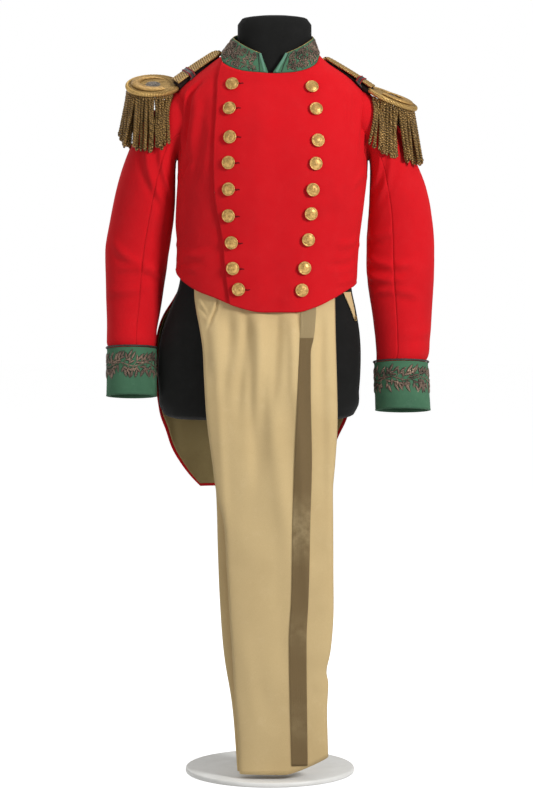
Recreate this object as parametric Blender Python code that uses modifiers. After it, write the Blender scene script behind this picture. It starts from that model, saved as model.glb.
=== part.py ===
"""Ceremonial uniform on a limbless dress form: a short-fronted scarlet tailcoat, trousers and epaulettes.

Metres, +Z up. The origin is under the middle of the stand's base. The front faces -Y and +X is
the viewer's right, which is the wearer's left. Angles round the body start at the centre front
and grow towards +X.
"""

import math
from collections import namedtuple

import bmesh
import bpy
import numpy as np
from mathutils import Matrix, Vector
from mathutils.bvhtree import BVHTree

# Driving dimensions
SEAM_GAP = 0.0003
SEAM_OPEN = 0.0009
COAT_WALL = 0.0025
SLEEVE_WALL = 0.0022
CUFF_WALL = 0.0030
COLLAR_WALL = 0.0030
TAIL_WALL = 0.0020
LINING_WALL = 0.0012
TROUSER_WALL = 0.0015
LACE_WALL = 0.0012
SQUARENESS = 2.4
FORM_COLUMNS = 22
LAP_GAP = 0.0013
BUTTON_RADIUS = 0.0130
BUTTON_SHANK = 0.0022
# What lies on cloth is seated along a line that starts this far from the middle plane
RAY_START = 0.3
DISC_RADIUS = 0.055
BASE_RADIUS = 0.170
BASE_HEIGHT = 0.010
POLE_RADIUS = 0.016
FLANGE_RADIUS = 0.055
FOOT_RADIUS = 0.030

# Armhole, an ellipse seen from the side
ARMHOLE_HEIGHT = 1.297
ARMHOLE_HALF_HEIGHT = 0.070
ARMHOLE_HALF_DEPTH = 0.062
ARMHOLE_SEGMENTS = 40
ARMHOLE_CUT_X = 0.19
ARMHOLE_CUT_LENGTH = 0.2

Section = namedtuple("Section", "height half_width front back centre")
Seam = namedtuple("Seam", "height angle")
Closing = namedtuple("Closing", "height x")
Level = namedtuple("Level", "angle height")
Ring = namedtuple("Ring", "outer_x outer_z inner_x inner_z half_depth centre_y lean")
CuffRow = namedtuple("CuffRow", "height centre_x centre_y half_width half_depth")
LegRow = namedtuple("LegRow", "height left right depth half_depth bend")
ButtonRow = namedtuple("ButtonRow", "left_x left_height right_x right_height")
Fold = namedtuple("Fold", "x lean width depth top bottom")
Stripe = namedtuple("Stripe", "height left right")
Epaulette = namedtuple(
    "Epaulette", "side centre_x centre_y centre_z outward_tilt forward_tilt neck_x neck_z keeper foot clear"
)

# Outside of the coat body, a row for each level from the front's lower edge to the neck
COAT_SECTIONS = [
    Section(0.905, 0.178, -0.116, 0.100, -0.008),
    Section(0.960, 0.179, -0.117, 0.098, -0.008),
    Section(1.000, 0.181, -0.119, 0.0975, -0.0075),
    Section(1.050, 0.181, -0.122, 0.098, -0.005),
    Section(1.105, 0.185, -0.128, 0.103, -0.002),
    Section(1.170, 0.188, -0.134, 0.111, 0.003),
    Section(1.240, 0.189, -0.133, 0.118, 0.006),
    Section(1.300, 0.188, -0.122, 0.120, 0.007),
    Section(1.335, 0.190, -0.109, 0.117, 0.004),
    Section(1.357, 0.1885, -0.099, 0.112, 0.0015),
    Section(1.372, 0.178, -0.092, 0.107, 0.000),
    Section(1.395, 0.1518, -0.085, 0.100, 0.0008),
    Section(1.418, 0.1185, -0.079, 0.089, 0.000),
    Section(1.436, 0.0955, -0.074, 0.078, 0.0025),
    Section(1.455, 0.079, -0.068, 0.068, 0.005),
]

# The dress form under it, smooth and whole, with room for the trousers at the front of the waist
FORM_SECTIONS = [
    Section(0.712, 0.168, -0.066, 0.082, -0.022),
    Section(0.716, 0.182, -0.076, 0.092, -0.022),
    Section(0.728, 0.194, -0.083, 0.101, -0.022),
    Section(0.770, 0.201, -0.086, 0.108, -0.022),
    Section(0.820, 0.203, -0.088, 0.112, -0.021),
    Section(0.880, 0.199, -0.087, 0.108, -0.019),
    Section(0.930, 0.186, -0.085, 0.099, -0.014),
    Section(0.975, 0.173, -0.085, 0.091, -0.010),
    Section(1.000, 0.171, -0.0855, 0.088, -0.0075),
    Section(1.040, 0.171, -0.0875, 0.0885, -0.005),
    Section(1.072, 0.1732, -0.105, 0.091, -0.0035),
    Section(1.105, 0.1755, -0.1185, 0.0945, -0.002),
    Section(1.170, 0.1785, -0.1245, 0.1025, 0.003),
    Section(1.240, 0.1795, -0.1235, 0.1095, 0.006),
    Section(1.295, 0.178, -0.1125, 0.1105, 0.007),
    Section(1.325, 0.177, -0.101, 0.108, 0.005),
    Section(1.347, 0.173, -0.090, 0.102, 0.003),
    Section(1.365, 0.160, -0.083, 0.097, 0.001),
    Section(1.388, 0.135, -0.075, 0.090, 0.001),
    Section(1.410, 0.105, -0.067, 0.080, 0.002),
    Section(1.430, 0.0795, -0.059, 0.070, 0.007),
    Section(1.455, 0.0735, -0.054, 0.063, 0.009),
    Section(1.490, 0.0735, -0.053, 0.062, 0.009),
    Section(1.503, 0.068, -0.048, 0.057, 0.009),
    Section(1.510, 0.054, -0.036, 0.045, 0.009),
    Section(1.513, 0.030, -0.018, 0.027, 0.009),
]

# The hanging tails follow the hips and then drop straight
TAIL_SECTIONS = [
    Section(0.540, 0.206, -0.100, 0.119, -0.021),
    Section(0.700, 0.2085, -0.100, 0.121, -0.021),
    Section(0.850, 0.2095, -0.100, 0.1205, -0.021),
    Section(0.900, 0.2045, -0.098, 0.115, -0.018),
    Section(0.950, 0.191, -0.098, 0.105, -0.012),
    Section(1.000, 0.181, -0.119, 0.0975, -0.0075),
]

# Lower edge of the coat body, by the angle round it
HEM_LEVELS = [
    Level(-180, 1.000), Level(-112, 1.000), Level(-90, 1.011), Level(-75, 0.999),
    Level(-60, 0.984), Level(-45, 0.968), Level(-30, 0.955), Level(-15, 0.938),
    Level(0, 0.927), Level(15, 0.927), Level(30, 0.938), Level(45, 0.954),
    Level(60, 0.969), Level(75, 0.978), Level(90, 0.986), Level(112, 1.000), Level(180, 1.000),
]

# Neckline, the same on both sides
NECK_LEVELS = [
    Level(0, 1.393), Level(15, 1.3965), Level(30, 1.405), Level(45, 1.4155), Level(60, 1.4265),
    Level(75, 1.433), Level(90, 1.436), Level(120, 1.441), Level(150, 1.446), Level(180, 1.448),
]

# Seam lines between front, side body and back, as the angle at each height
FRONT_SIDE_SEAM = [
    Seam(0.90, 72), Seam(1.20, 72), Seam(1.25, 76), Seam(1.32, 84), Seam(1.37, 90),
]
SIDE_BACK_SEAM = [
    Seam(0.90, 150), Seam(1.05, 150), Seam(1.12, 146), Seam(1.20, 136), Seam(1.27, 121),
    Seam(1.30, 112), Seam(1.33, 101), Seam(1.37, 90),
]

# Distance of the closing edge from the middle, at each height
CLOSING_EDGE = [
    Closing(0.940, -0.0780), Closing(0.996, -0.0859), Closing(1.086, -0.0950), Closing(1.127, -0.1030),
    Closing(1.370, -0.1035), Closing(1.440, -0.0850),
]
UNDERLAP_REACH = 0.045

# Rows that every coat panel shares between its lower edge and the shoulder
BODY_LEVELS = [1.030, 1.075, 1.120, 1.165, 1.205, 1.240, 1.270, 1.300, 1.332]
SHOULDER_LEVEL = 1.360
COAT_ROWS = len(BODY_LEVELS) + 5
SIDE_ROWS = BODY_LEVELS.index(1.300) + 2

# Free front edge of each tail
LEFT_TAIL = [
    Seam(0.567, 148), Seam(0.590, 140), Seam(0.617, 132), Seam(0.650, 123.5), Seam(0.686, 116),
    Seam(0.733, 105), Seam(0.765, 98), Seam(0.813, 95), Seam(0.907, 97), Seam(0.950, 108), Seam(1.000, 121),
]
RIGHT_TAIL = [
    Seam(0.567, 152), Seam(0.600, 146), Seam(0.630, 140), Seam(0.666, 133.5), Seam(0.709, 125),
    Seam(0.760, 118), Seam(0.813, 114), Seam(0.900, 112), Seam(0.950, 114), Seam(1.000, 121),
]
TAIL_BOTTOM = 0.567
LINING_INSET = 0.007
VENT_HALF_ANGLE = 0.25
TAIL_COLUMNS = 7
TAIL_ROWS = 10
# The lining's inset at the waist, as a share of its inset at the other edges
LINING_TOP_SHARE = 0.3
TAIL_TOP = 1.000 - SEAM_GAP

# The pointed buff piece at the wearer's left hip
TURNBACK_TOP = 0.9655
TURNBACK_TIP = 0.912

# Top edge of the standing collar, and the rounded section that it follows
COLLAR_TOP = [
    Level(0, 1.432), Level(14, 1.434), Level(30, 1.4425), Level(60, 1.459), Level(90, 1.470),
    Level(130, 1.480), Level(180, 1.485),
]
COLLAR_TOP_SECTION = Section(0, 0.0803, -0.069, 0.072, 0.0065)
COLLAR_LOW_GAP = 1.8
COLLAR_HIGH_GAP = 13.8
COLLAR_LIFT = 0.0012

# The sleeves' two seams, as the angle from the outer side, and half of each one's opening
SLEEVE_SEAM = 104.0
SLEEVE_OPEN = 1.10
ARMHOLE_INSET = 0.0008
ARMHOLE_STAND = 0.0005

# Rings of the sleeves below the armhole, from the shoulder to just inside the cuff
LEFT_SLEEVE = [
    Ring(-0.2080, 1.346, -0.1880, 1.212, 0.0640, 0.001, 0),
    Ring(-0.2400, 1.317, -0.1885, 1.188, 0.0640, 0.002, 0),
    Ring(-0.2680, 1.275, -0.1890, 1.160, 0.0620, 0.004, 0),
    Ring(-0.2915, 1.222, -0.1910, 1.125, 0.0600, 0.007, 0),
    Ring(-0.3080, 1.165, -0.1950, 1.090, 0.0580, 0.010, 0),
    Ring(-0.3205, 1.105, -0.2005, 1.055, 0.0560, 0.014, 0),
    Ring(-0.3295, 1.045, -0.2065, 1.015, 0.0550, 0.016, 1),
    Ring(-0.3290, 0.990, -0.2125, 0.975, 0.0530, 0.012, 4),
    Ring(-0.3270, 0.935, -0.2190, 0.930, 0.0510, 0.004, 7),
    Ring(-0.3260, 0.890, -0.2260, 0.890, 0.0500, -0.004, 8),
    Ring(-0.3260, 0.864, -0.2275, 0.864, 0.0495, -0.010, 8),
    Ring(-0.3220, 0.852, -0.2295, 0.852, 0.0460, -0.012, 8),
    Ring(-0.3217, 0.836, -0.2297, 0.836, 0.0460, -0.014, 8),
]
RIGHT_SLEEVE = [
    Ring(0.2180, 1.341, 0.1995, 1.208, 0.0640, 0.001, 0),
    Ring(0.2460, 1.310, 0.1995, 1.188, 0.0640, 0.002, 0),
    Ring(0.2715, 1.268, 0.1985, 1.163, 0.0620, 0.004, 0),
    Ring(0.2925, 1.222, 0.1975, 1.133, 0.0600, 0.007, 0),
    Ring(0.3120, 1.172, 0.1955, 1.098, 0.0580, 0.010, 0),
    Ring(0.3235, 1.115, 0.1935, 1.062, 0.0570, 0.014, 0),
    Ring(0.3285, 1.050, 0.1930, 1.022, 0.0565, 0.016, 1),
    Ring(0.3280, 0.990, 0.1960, 0.978, 0.0560, 0.012, 4),
    Ring(0.3240, 0.925, 0.2040, 0.925, 0.0550, 0.004, 7),
    Ring(0.3195, 0.870, 0.2105, 0.870, 0.0545, -0.004, 8),
    Ring(0.3160, 0.837, 0.2125, 0.837, 0.0540, -0.010, 8),
    Ring(0.3106, 0.824, 0.2120, 0.824, 0.0505, -0.012, 8),
    Ring(0.3115, 0.808, 0.2119, 0.808, 0.0505, -0.014, 8),
]
LEFT_CUFF = [
    CuffRow(0.851, -0.2757, -0.0120, 0.0497, 0.0497),
    CuffRow(0.805, -0.2757, -0.0185, 0.0500, 0.0500),
    CuffRow(0.758, -0.2757, -0.0250, 0.0505, 0.0505),
]
RIGHT_CUFF = [
    CuffRow(0.823, 0.2616, -0.0120, 0.0537, 0.0540),
    CuffRow(0.777, 0.2630, -0.0185, 0.0545, 0.0545),
    CuffRow(0.730, 0.2650, -0.0250, 0.0553, 0.0550),
]
CUFF_LEAN = 8
CORD_RADIUS = 0.0020
CORD_PROUD = 0.0008
CORD_RISE = 0.0027

# How far the trousers' waist bends round the form, by its half width and centre
WAIST_CURVE = Section(0, 0.176, 0, 0, -0.011)
LEG_POWER = 0.72

# The front leg's outline and the one behind it, pressed flat under the coat
FRONT_LEG = [
    LegRow(0.020, -0.0604, 0.1149, -0.1280, 0.0150, 0.008),
    LegRow(0.117, -0.0655, 0.1126, -0.1280, 0.0150, 0.008),
    LegRow(0.178, -0.0705, 0.1149, -0.1280, 0.0150, 0.009),
    LegRow(0.203, -0.0720, 0.1112, -0.1280, 0.0150, 0.009),
    LegRow(0.242, -0.0740, 0.1180, -0.1280, 0.0150, 0.009),
    LegRow(0.308, -0.0785, 0.1239, -0.1280, 0.0150, 0.010),
    LegRow(0.427, -0.0857, 0.1245, -0.1275, 0.0150, 0.013),
    LegRow(0.520, -0.0927, 0.1240, -0.1270, 0.0148, 0.016),
    LegRow(0.575, -0.1058, 0.1235, -0.1268, 0.0146, 0.019),
    LegRow(0.632, -0.1136, 0.1278, -0.1265, 0.0145, 0.021),
    LegRow(0.717, -0.1247, 0.1325, -0.1250, 0.0143, 0.028),
    LegRow(0.800, -0.1300, 0.1310, -0.1220, 0.0138, 0.042),
    LegRow(0.860, -0.1335, 0.1295, -0.1160, 0.0118, 0.058),
    LegRow(0.900, -0.1400, 0.1288, -0.1095, 0.0085, 0.070),
    LegRow(0.930, -0.1460, 0.1285, -0.1045, 0.0055, 0.080),
    LegRow(0.965, -0.1500, 0.1280, -0.1035, 0.0046, 0.090),
    LegRow(1.0022, -0.1500, 0.1270, -0.1027, 0.0042, 0.090),
]
BACK_LEG = [
    LegRow(0.020, -0.0645, 0.0900, -0.1030, 0.0085, 0.008),
    LegRow(0.165, -0.0767, 0.0940, -0.1030, 0.0085, 0.008),
    LegRow(0.240, -0.0892, 0.1000, -0.1030, 0.0085, 0.009),
    LegRow(0.365, -0.0992, 0.1080, -0.1030, 0.0085, 0.011),
    LegRow(0.450, -0.1025, 0.1100, -0.1028, 0.0083, 0.014),
    LegRow(0.573, -0.1062, 0.1100, -0.1022, 0.0080, 0.019),
    LegRow(0.717, -0.1200, 0.1150, -0.1010, 0.0070, 0.028),
    LegRow(0.800, -0.1240, 0.1150, -0.0995, 0.0058, 0.042),
    LegRow(0.860, -0.1280, 0.1150, -0.0972, 0.0048, 0.058),
    LegRow(0.900, -0.1340, 0.1150, -0.0945, 0.0048, 0.068),
    LegRow(0.930, -0.1400, 0.1150, -0.0925, 0.0043, 0.078),
    LegRow(0.965, -0.1450, 0.1150, -0.0924, 0.0041, 0.090),
    LegRow(1.0020, -0.1450, 0.1150, -0.0918, 0.0038, 0.090),
]
FRONT_LEG_ROWS = 15
BACK_LEG_ROWS = 10
BAND_LOW = 1.003
BAND_HIGH = 1.038
BAND_DEPTH = 0.0205
BAND_CENTRE = -0.0125
BAND_HALF_WIDTH = 0.1345
BAND_CLEAR = 0.0011
BAND_END_POWER = 0.8
BAND_FACE_POWER = 0.6
HEM_RISE = 0.033
HEM_RISE_START = 0.030
HEM_RISE_WIDTH = 0.085

# Soft folds down the front leg, ridges towards the viewer where the depth is above 0
LEG_FOLDS = [
    Fold(-0.080, 0.06, 0.010, -0.0035, 0.93, 0.52),
    Fold(-0.042, 0.03, 0.011, -0.0040, 0.93, 0.58),
    Fold(-0.012, 0.00, 0.013, 0.0040, 0.93, 0.55),
    Fold(0.022, -0.02, 0.010, -0.0035, 0.93, 0.62),
    Fold(0.052, -0.03, 0.008, -0.0025, 0.93, 0.70),
    Fold(0.100, 0.00, 0.012, 0.0025, 0.90, 0.60),
]

# Edges of the lace down the side seam
STRIPE_EDGES = [
    Stripe(0.030, 0.0425, 0.0740), Stripe(0.284, 0.0374, 0.0715), Stripe(0.367, 0.0417, 0.0752),
    Stripe(0.520, 0.0442, 0.0790), Stripe(0.639, 0.0477, 0.0818), Stripe(0.785, 0.0545, 0.0793),
    Stripe(0.846, 0.0573, 0.0793), Stripe(0.880, 0.0585, 0.0860), Stripe(0.925, 0.0600, 0.0905),
]
STRIPE_BOTTOM = 0.038
FRONT_STRIPE_TOP = 0.927
BACK_STRIPE_TOP = 0.850
BACK_STRIPE_SHIFT = -0.035
STRIPE_CLEAR = 0.0009

WAIST_BUTTON_ANGLE = 158
WAIST_BUTTON_HEIGHT = 1.022
# Button centres in each column
BUTTON_ROWS = [
    ButtonRow(-0.0736, 1.3713, 0.0815, 1.3660), ButtonRow(-0.0786, 1.3231, 0.0892, 1.3222),
    ButtonRow(-0.0773, 1.2671, 0.0925, 1.2608), ButtonRow(-0.0800, 1.2175, 0.0884, 1.2160),
    ButtonRow(-0.0800, 1.1662, 0.0826, 1.1652), ButtonRow(-0.0804, 1.1150, 0.0794, 1.1191),
    ButtonRow(-0.0748, 1.0627, 0.0742, 1.0684), ButtonRow(-0.0722, 1.0126, 0.0670, 1.0135),
    ButtonRow(-0.0611, 0.9718, 0.0617, 0.9702),
]

# A button's half section from the top of its dome down to its shank
BUTTON_PROFILE = [
    (0.0, 0.0060), (0.0080, 0.0050), (BUTTON_RADIUS, 0.0012), (0.0028, 0.0),
    (0.0025, -BUTTON_SHANK), (0.0, -BUTTON_SHANK),
]

# Each epaulette's disc, where its strap ends by the neck, how far along the strap the keeper sits,
# and how far the keeper's feet stand off the shoulder and the strap off the disc's rim
EPAULETTES = [
    Epaulette("left", -0.2324, -0.010, 1.374, 0.0, 25.0, -0.1020, 1.442, 0.31, 0.0020, 0.0024),
    Epaulette("right", 0.2422, -0.006, 1.349, 22.4, 13.0, 0.1120, 1.430, 0.25, 0.0105, 0.0003),
]

FIELD_HEIGHT = 0.0030
RIM_RADIUS = 0.0515
RIM_TOP = 0.0048
RIM_BOTTOM = -0.0042
DISC_PROFILE = [
    (0.0, FIELD_HEIGHT), (0.038, FIELD_HEIGHT), (0.046, 0.0042), (RIM_RADIUS, RIM_TOP),
    (DISC_RADIUS, 0.0020), (DISC_RADIUS, -0.0020), (RIM_RADIUS, RIM_BOTTOM), (0.0, RIM_BOTTOM),
]
STRIP_RADIUS = 0.0500
STRIP_HALF = 0.0026
STRIP_TOP = -0.0050
STRIP_BOTTOM = -0.0095
# Degrees from the strap that the fringe leaves open, in front of it and behind
STRIP_OPEN_FRONT = 38.0
STRIP_OPEN_BACK = 62.0
CRESCENT_RADIUS = 0.034
CRESCENT_THIN = 0.0020
CRESCENT_FULLNESS = 0.0062
CRESCENT_FLATNESS = 0.55
CRESCENT_TAPER = 80
STRANDS = 22
STRAND_LENGTH = 0.097
STRAND_UNEVEN = 0.004
STRAND_SPLAY = 0.16
STRAND_CLEARANCE = 0.0074
STRAND_SIZE = 0.92
STRAND_STEPS = 14
STRAND_MIDDLE = 6
# The sleeve's middle under the disc, from the disc's own towards the neck
STRAND_CENTRE_INSET = 0.020
# How finely, and how far down the sleeve and round the coat, the strands feel for the cloth
FEEL_AROUND = 48
FEEL_ALONG = 40
FEEL_SLEEVE_SHARE = 0.55
FEEL_COAT_STEPS = 30
FEEL_COAT_ANGLES = (30.0, 120.0)
FEEL_COAT_HEIGHTS = (1.18, 0.19)
STRAP_WIDTH = 0.044
STRAP_THICKNESS = 0.0045
STRAP_LAP = 0.011
STRAP_NARROWING = 0.12
STRAP_END = 0.93
STRAP_END_WIDTH = 0.72
KEEPER_WALL = 0.0016
KEEPER_LENGTH = 0.012
KEEPER_SIDE = 0.0025
KEEPER_TOP = 0.0024
CRESCENT_REACH = 128


# Shared helpers

for old in list(bpy.data.objects):
    bpy.data.objects.remove(old, do_unlink=True)

parts = bpy.data.collections.new("ceremonial_uniform")
cutters = bpy.data.collections.new("cutters")
bpy.context.scene.collection.children.link(parts)
bpy.context.scene.collection.children.link(cutters)
cutters.hide_render = True


def material(name, colour, roughness, metallic=0.0):
    made = bpy.data.materials.new(name)
    made.use_nodes = True
    shader = made.node_tree.nodes["Principled BSDF"]
    shader.inputs["Base Color"].default_value = (*colour, 1.0)
    shader.inputs["Roughness"].default_value = roughness
    shader.inputs["Metallic"].default_value = metallic
    made.diffuse_color = (*colour, 1.0)
    return made


SCARLET = material("scarlet_wool", (0.62, 0.012, 0.016), 0.85)
GREEN = material("green_facing_cloth", (0.06, 0.16, 0.09), 0.85)
BUFF = material("buff_cloth", (0.62, 0.46, 0.24), 0.80)
LACE = material("stripe_lace", (0.24, 0.17, 0.07), 0.60)
BLACK = material("form_cover", (0.012, 0.012, 0.011), 0.75)
GILT = material("gilt_metal", (0.60, 0.40, 0.13), 0.35, 1.0)
BULLION = material("gold_bullion", (0.34, 0.23, 0.08), 0.50, 0.6)
CORD = material("dark_cord", (0.05, 0.04, 0.035), 0.60)
PALE = material("pale_stand_paint", (0.80, 0.80, 0.78), 0.50)


def smooth_curve(keys, values):
    """A function through the given values, smooth from one to the next."""
    keys = np.array(keys, float)
    values = np.array(values, float)
    slopes = np.gradient(values, keys)
    steps = np.diff(values)
    # Level stretches and turning points stay level, so that the curve doesn't overshoot
    slopes[1:-1][steps[1:] * steps[:-1] <= 0] = 0.0

    def value(at):
        at = min(max(at, keys[0]), keys[-1])
        index = int(min(max(np.searchsorted(keys, at) - 1, 0), len(keys) - 2))
        span = keys[index + 1] - keys[index]
        t = (at - keys[index]) / span
        low = (1 + 2 * t) * (1 - t) ** 2 * values[index] + t * (1 - t) ** 2 * span * slopes[index]
        high = t * t * (3 - 2 * t) * values[index + 1] + t * t * (t - 1) * span * slopes[index + 1]
        return float(low + high)

    return value


def columns_of(rows):
    """A smooth curve for each column of a table, by its first column."""
    keys = [row[0] for row in rows]
    names = rows[0]._fields[1:]
    return {name: smooth_curve(keys, [getattr(row, name) for row in rows]) for name in names}


def by_key(rows):
    return smooth_curve([row[0] for row in rows], [row[1] for row in rows])


coat = columns_of(COAT_SECTIONS)
form = columns_of(FORM_SECTIONS)
tail = columns_of(TAIL_SECTIONS)
hem_level = by_key(HEM_LEVELS)
neck_level = by_key(NECK_LEVELS)
front_side_seam = by_key(FRONT_SIDE_SEAM)
side_back_seam = by_key(SIDE_BACK_SEAM)
closing_edge = by_key(CLOSING_EDGE)


def blend(low, high, at):
    """0 below low, 1 above high, smooth between."""
    t = min(max((at - low) / (high - low), 0.0), 1.0)
    return t * t * (3 - 2 * t)


def signed_power(value, power):
    return math.copysign(abs(value) ** power, value)


def section_point(section, degrees, height, lift=0.0):
    """A point of a rounded section, with lift added to its half sizes."""
    angle = math.radians(degrees)
    half_depth = (section["back"](height) - section["front"](height)) / 2
    middle = (section["back"](height) + section["front"](height)) / 2
    half_width = section["half_width"](height)
    x = section["centre"](height) + (half_width + lift) * signed_power(math.sin(angle), 2 / SQUARENESS)
    y = middle - (half_depth + lift) * signed_power(math.cos(angle), 2 / SQUARENESS)
    return Vector((x, y, height))


def angle_of_x(section, x, height):
    """The front angle where the section has this x."""
    reach = (x - section["centre"](height)) / section["half_width"](height)
    reach = min(max(reach, -0.999), 0.999)
    return math.degrees(math.asin(signed_power(reach, SQUARENESS / 2)))


def front_of(section, x, height):
    """The y of the section's front at this x."""
    half_depth = (section["back"](height) - section["front"](height)) / 2
    middle = (section["back"](height) + section["front"](height)) / 2
    reach = min(abs(x - section["centre"](height)) / section["half_width"](height), 0.999)
    return middle - half_depth * (1 - reach ** SQUARENESS) ** (1 / SQUARENESS)


def side_of(section, y, height, sign):
    """The x of the section's side at this y."""
    half_depth = (section["back"](height) - section["front"](height)) / 2
    middle = (section["back"](height) + section["front"](height)) / 2
    reach = min(abs(y - middle) / half_depth, 0.999)
    return section["centre"](height) + sign * section["half_width"](height) * (
        (1 - reach ** SQUARENESS) ** (1 / SQUARENESS)
    )


def shoulder_height(x, y):
    """Height of the coat's shoulder over this place."""
    low, high = 1.30, 1.45
    for _ in range(24):
        height = (low + high) / 2
        half_depth = (coat["back"](height) - coat["front"](height)) / 2
        middle = (coat["back"](height) + coat["front"](height)) / 2
        across = abs(x - coat["centre"](height)) / coat["half_width"](height)
        along = abs(y - middle) / half_depth
        inside = across ** SQUARENESS + along ** SQUARENESS < 1
        low, high = (height, high) if inside else (low, height)
    return low


def object_of(name, mesh, look, where=parts):
    made = bpy.data.objects.new(name, mesh)
    mesh.materials.append(look)
    where.objects.link(made)
    mesh.shade_smooth()
    mesh.set_sharp_from_angle(angle=math.radians(40))
    return made


def grid_mesh(name, point_at, columns, rows, closed=False):
    """A mesh from a function of u round or across and v along, both 0 to 1."""
    bm = bmesh.new()
    count = columns if closed else columns + 1
    points = [
        [bm.verts.new(point_at(i / columns, j / rows)) for i in range(count)] for j in range(rows + 1)
    ]
    for j in range(rows):
        for i in range(columns):
            k = (i + 1) % count
            bm.faces.new((points[j][i], points[j][k], points[j + 1][k], points[j + 1][i]))
    mesh = bpy.data.meshes.new(name)
    bm.to_mesh(mesh)
    bm.free()
    return mesh


def cloth(name, point_at, columns, rows, wall, look, closed=False):
    """A cloth wall: an open surface with its thickness on the inner side."""
    made = object_of(name, grid_mesh(name, point_at, columns, rows, closed), look)
    shell = made.modifiers.new("wall", "SOLIDIFY")
    shell.thickness = wall
    shell.offset = -1.0
    shell.use_even_offset = True
    return made


def loft(name, rings, look):
    """A closed solid through rings of points, capped at both ends."""
    bm = bmesh.new()
    verts = [[bm.verts.new(point) for point in ring] for ring in rings]
    count = len(rings[0])
    for low, high in zip(verts, verts[1:]):
        for i in range(count):
            k = (i + 1) % count
            bm.faces.new((low[i], low[k], high[k], high[i]))
    bm.faces.new(list(reversed(verts[0])))
    bm.faces.new(verts[-1])
    bmesh.ops.recalc_face_normals(bm, faces=bm.faces[:])
    mesh = bpy.data.meshes.new(name)
    bm.to_mesh(mesh)
    bm.free()
    return object_of(name, mesh, look)


def turned(name, profile, steps, look):
    """A turned solid: the profile runs from the top down the outer side."""
    mesh = bpy.data.meshes.new(name)
    edges = [(i, i + 1) for i in range(len(profile) - 1)]
    mesh.from_pydata([(radius, 0.0, height) for radius, height in profile], edges, [])
    made = bpy.data.objects.new(name, mesh)
    mesh.materials.append(look)
    parts.objects.link(made)
    screw = made.modifiers.new("turn", "SCREW")
    screw.steps = steps
    screw.render_steps = steps
    screw.use_merge_vertices = True
    screw.merge_threshold = 0.00005
    screw.use_smooth_shade = True
    return made


# Dress form and its stand

def build_form():
    rings = []
    for section in FORM_SECTIONS:
        turns = [360 * i / FORM_COLUMNS for i in range(FORM_COLUMNS)]
        rings.append([section_point(form, degrees, section.height) for degrees in turns])
    loft("dress_form", rings, BLACK)


def build_stand():
    turned(
        "stand_base",
        [(0.0, BASE_HEIGHT), (BASE_RADIUS - 0.004, BASE_HEIGHT), (BASE_RADIUS, BASE_HEIGHT - 0.003),
         (BASE_RADIUS, 0.0), (0.0, 0.0)],
        36, PALE,
    )
    top = FORM_SECTIONS[0].height - SEAM_GAP
    low = BASE_HEIGHT + SEAM_GAP
    turned(
        "stand_pole",
        [(0.0, top), (FLANGE_RADIUS, top), (FLANGE_RADIUS, top - 0.006), (POLE_RADIUS + 0.004, top - 0.010),
         (POLE_RADIUS, top - 0.016), (POLE_RADIUS, low + 0.020), (FOOT_RADIUS, low + 0.012),
         (FOOT_RADIUS, low), (0.0, low)],
        16, PALE,
    )


# Coat body

def coat_levels(degrees):
    """Heights of the rows at this angle, the same on both sides of a seam."""
    hem = hem_level(degrees)
    neck = neck_level(abs(degrees))
    above = [SHOULDER_LEVEL + (neck - SHOULDER_LEVEL) * share for share in (0.35, 0.70, 1.0)]
    return [hem, (hem + BODY_LEVELS[0]) / 2, *BODY_LEVELS, SHOULDER_LEVEL, *above]


def coat_panel_angle(low_edge, high_edge, u, row):
    """Angle and height of a panel's point between two seam lines, on a row of coat_levels."""
    degrees = (low_edge(1.2) + high_edge(1.2)) / 2
    height = 1.2
    below = int(min(row, COAT_ROWS - 1))
    for _ in range(4):
        levels = coat_levels(degrees)
        height = levels[below] + (levels[below + 1] - levels[below]) * (row - below)
        low = low_edge(height)
        high = high_edge(height)
        degrees = low + (high - low) * u
    return degrees, height


def coat_point(degrees, height, lift=0.0):
    """A point of the coat's outside, moved straight out of it."""
    point = section_point(coat, degrees, height)
    if lift == 0.0:
        return point
    across = section_point(coat, degrees + 1, height) - section_point(coat, degrees - 1, height)
    upward = section_point(coat, degrees, height + 0.003) - section_point(coat, degrees, height - 0.003)
    return point + across.cross(upward).normalized() * lift


def seam_shift(degrees, height, slant=1.0):
    """The angle of half a seam's opening outside, which leaves the inner edges SEAM_GAP apart."""
    speed = (section_point(coat, degrees + 1, height) - section_point(coat, degrees - 1, height)).length / 2
    return slant * SEAM_OPEN / 2 / speed


def panel_edge(seam, sign, side, slant=1.0):
    """A seam line moved to one side by half its opening; sign picks the body's side."""

    def edge(height):
        degrees = seam(height)
        return sign * (degrees + side * seam_shift(degrees, height, slant))

    return edge


def overlap_lift(x):
    """How far the overlapping front stands off the one under it."""
    return (COAT_WALL + LAP_GAP) * (1 - blend(-0.028, 0.022, x))


def overlap_point(u, v):
    """The wearer's left front, which closes over the right one."""
    degrees, height = coat_panel_angle(
        lambda z: angle_of_x(coat, closing_edge(z), z),
        panel_edge(front_side_seam, 1.0, -1.0),
        u, v * COAT_ROWS,
    )
    return coat_point(degrees, height, overlap_lift(section_point(coat, degrees, height).x))


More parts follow.
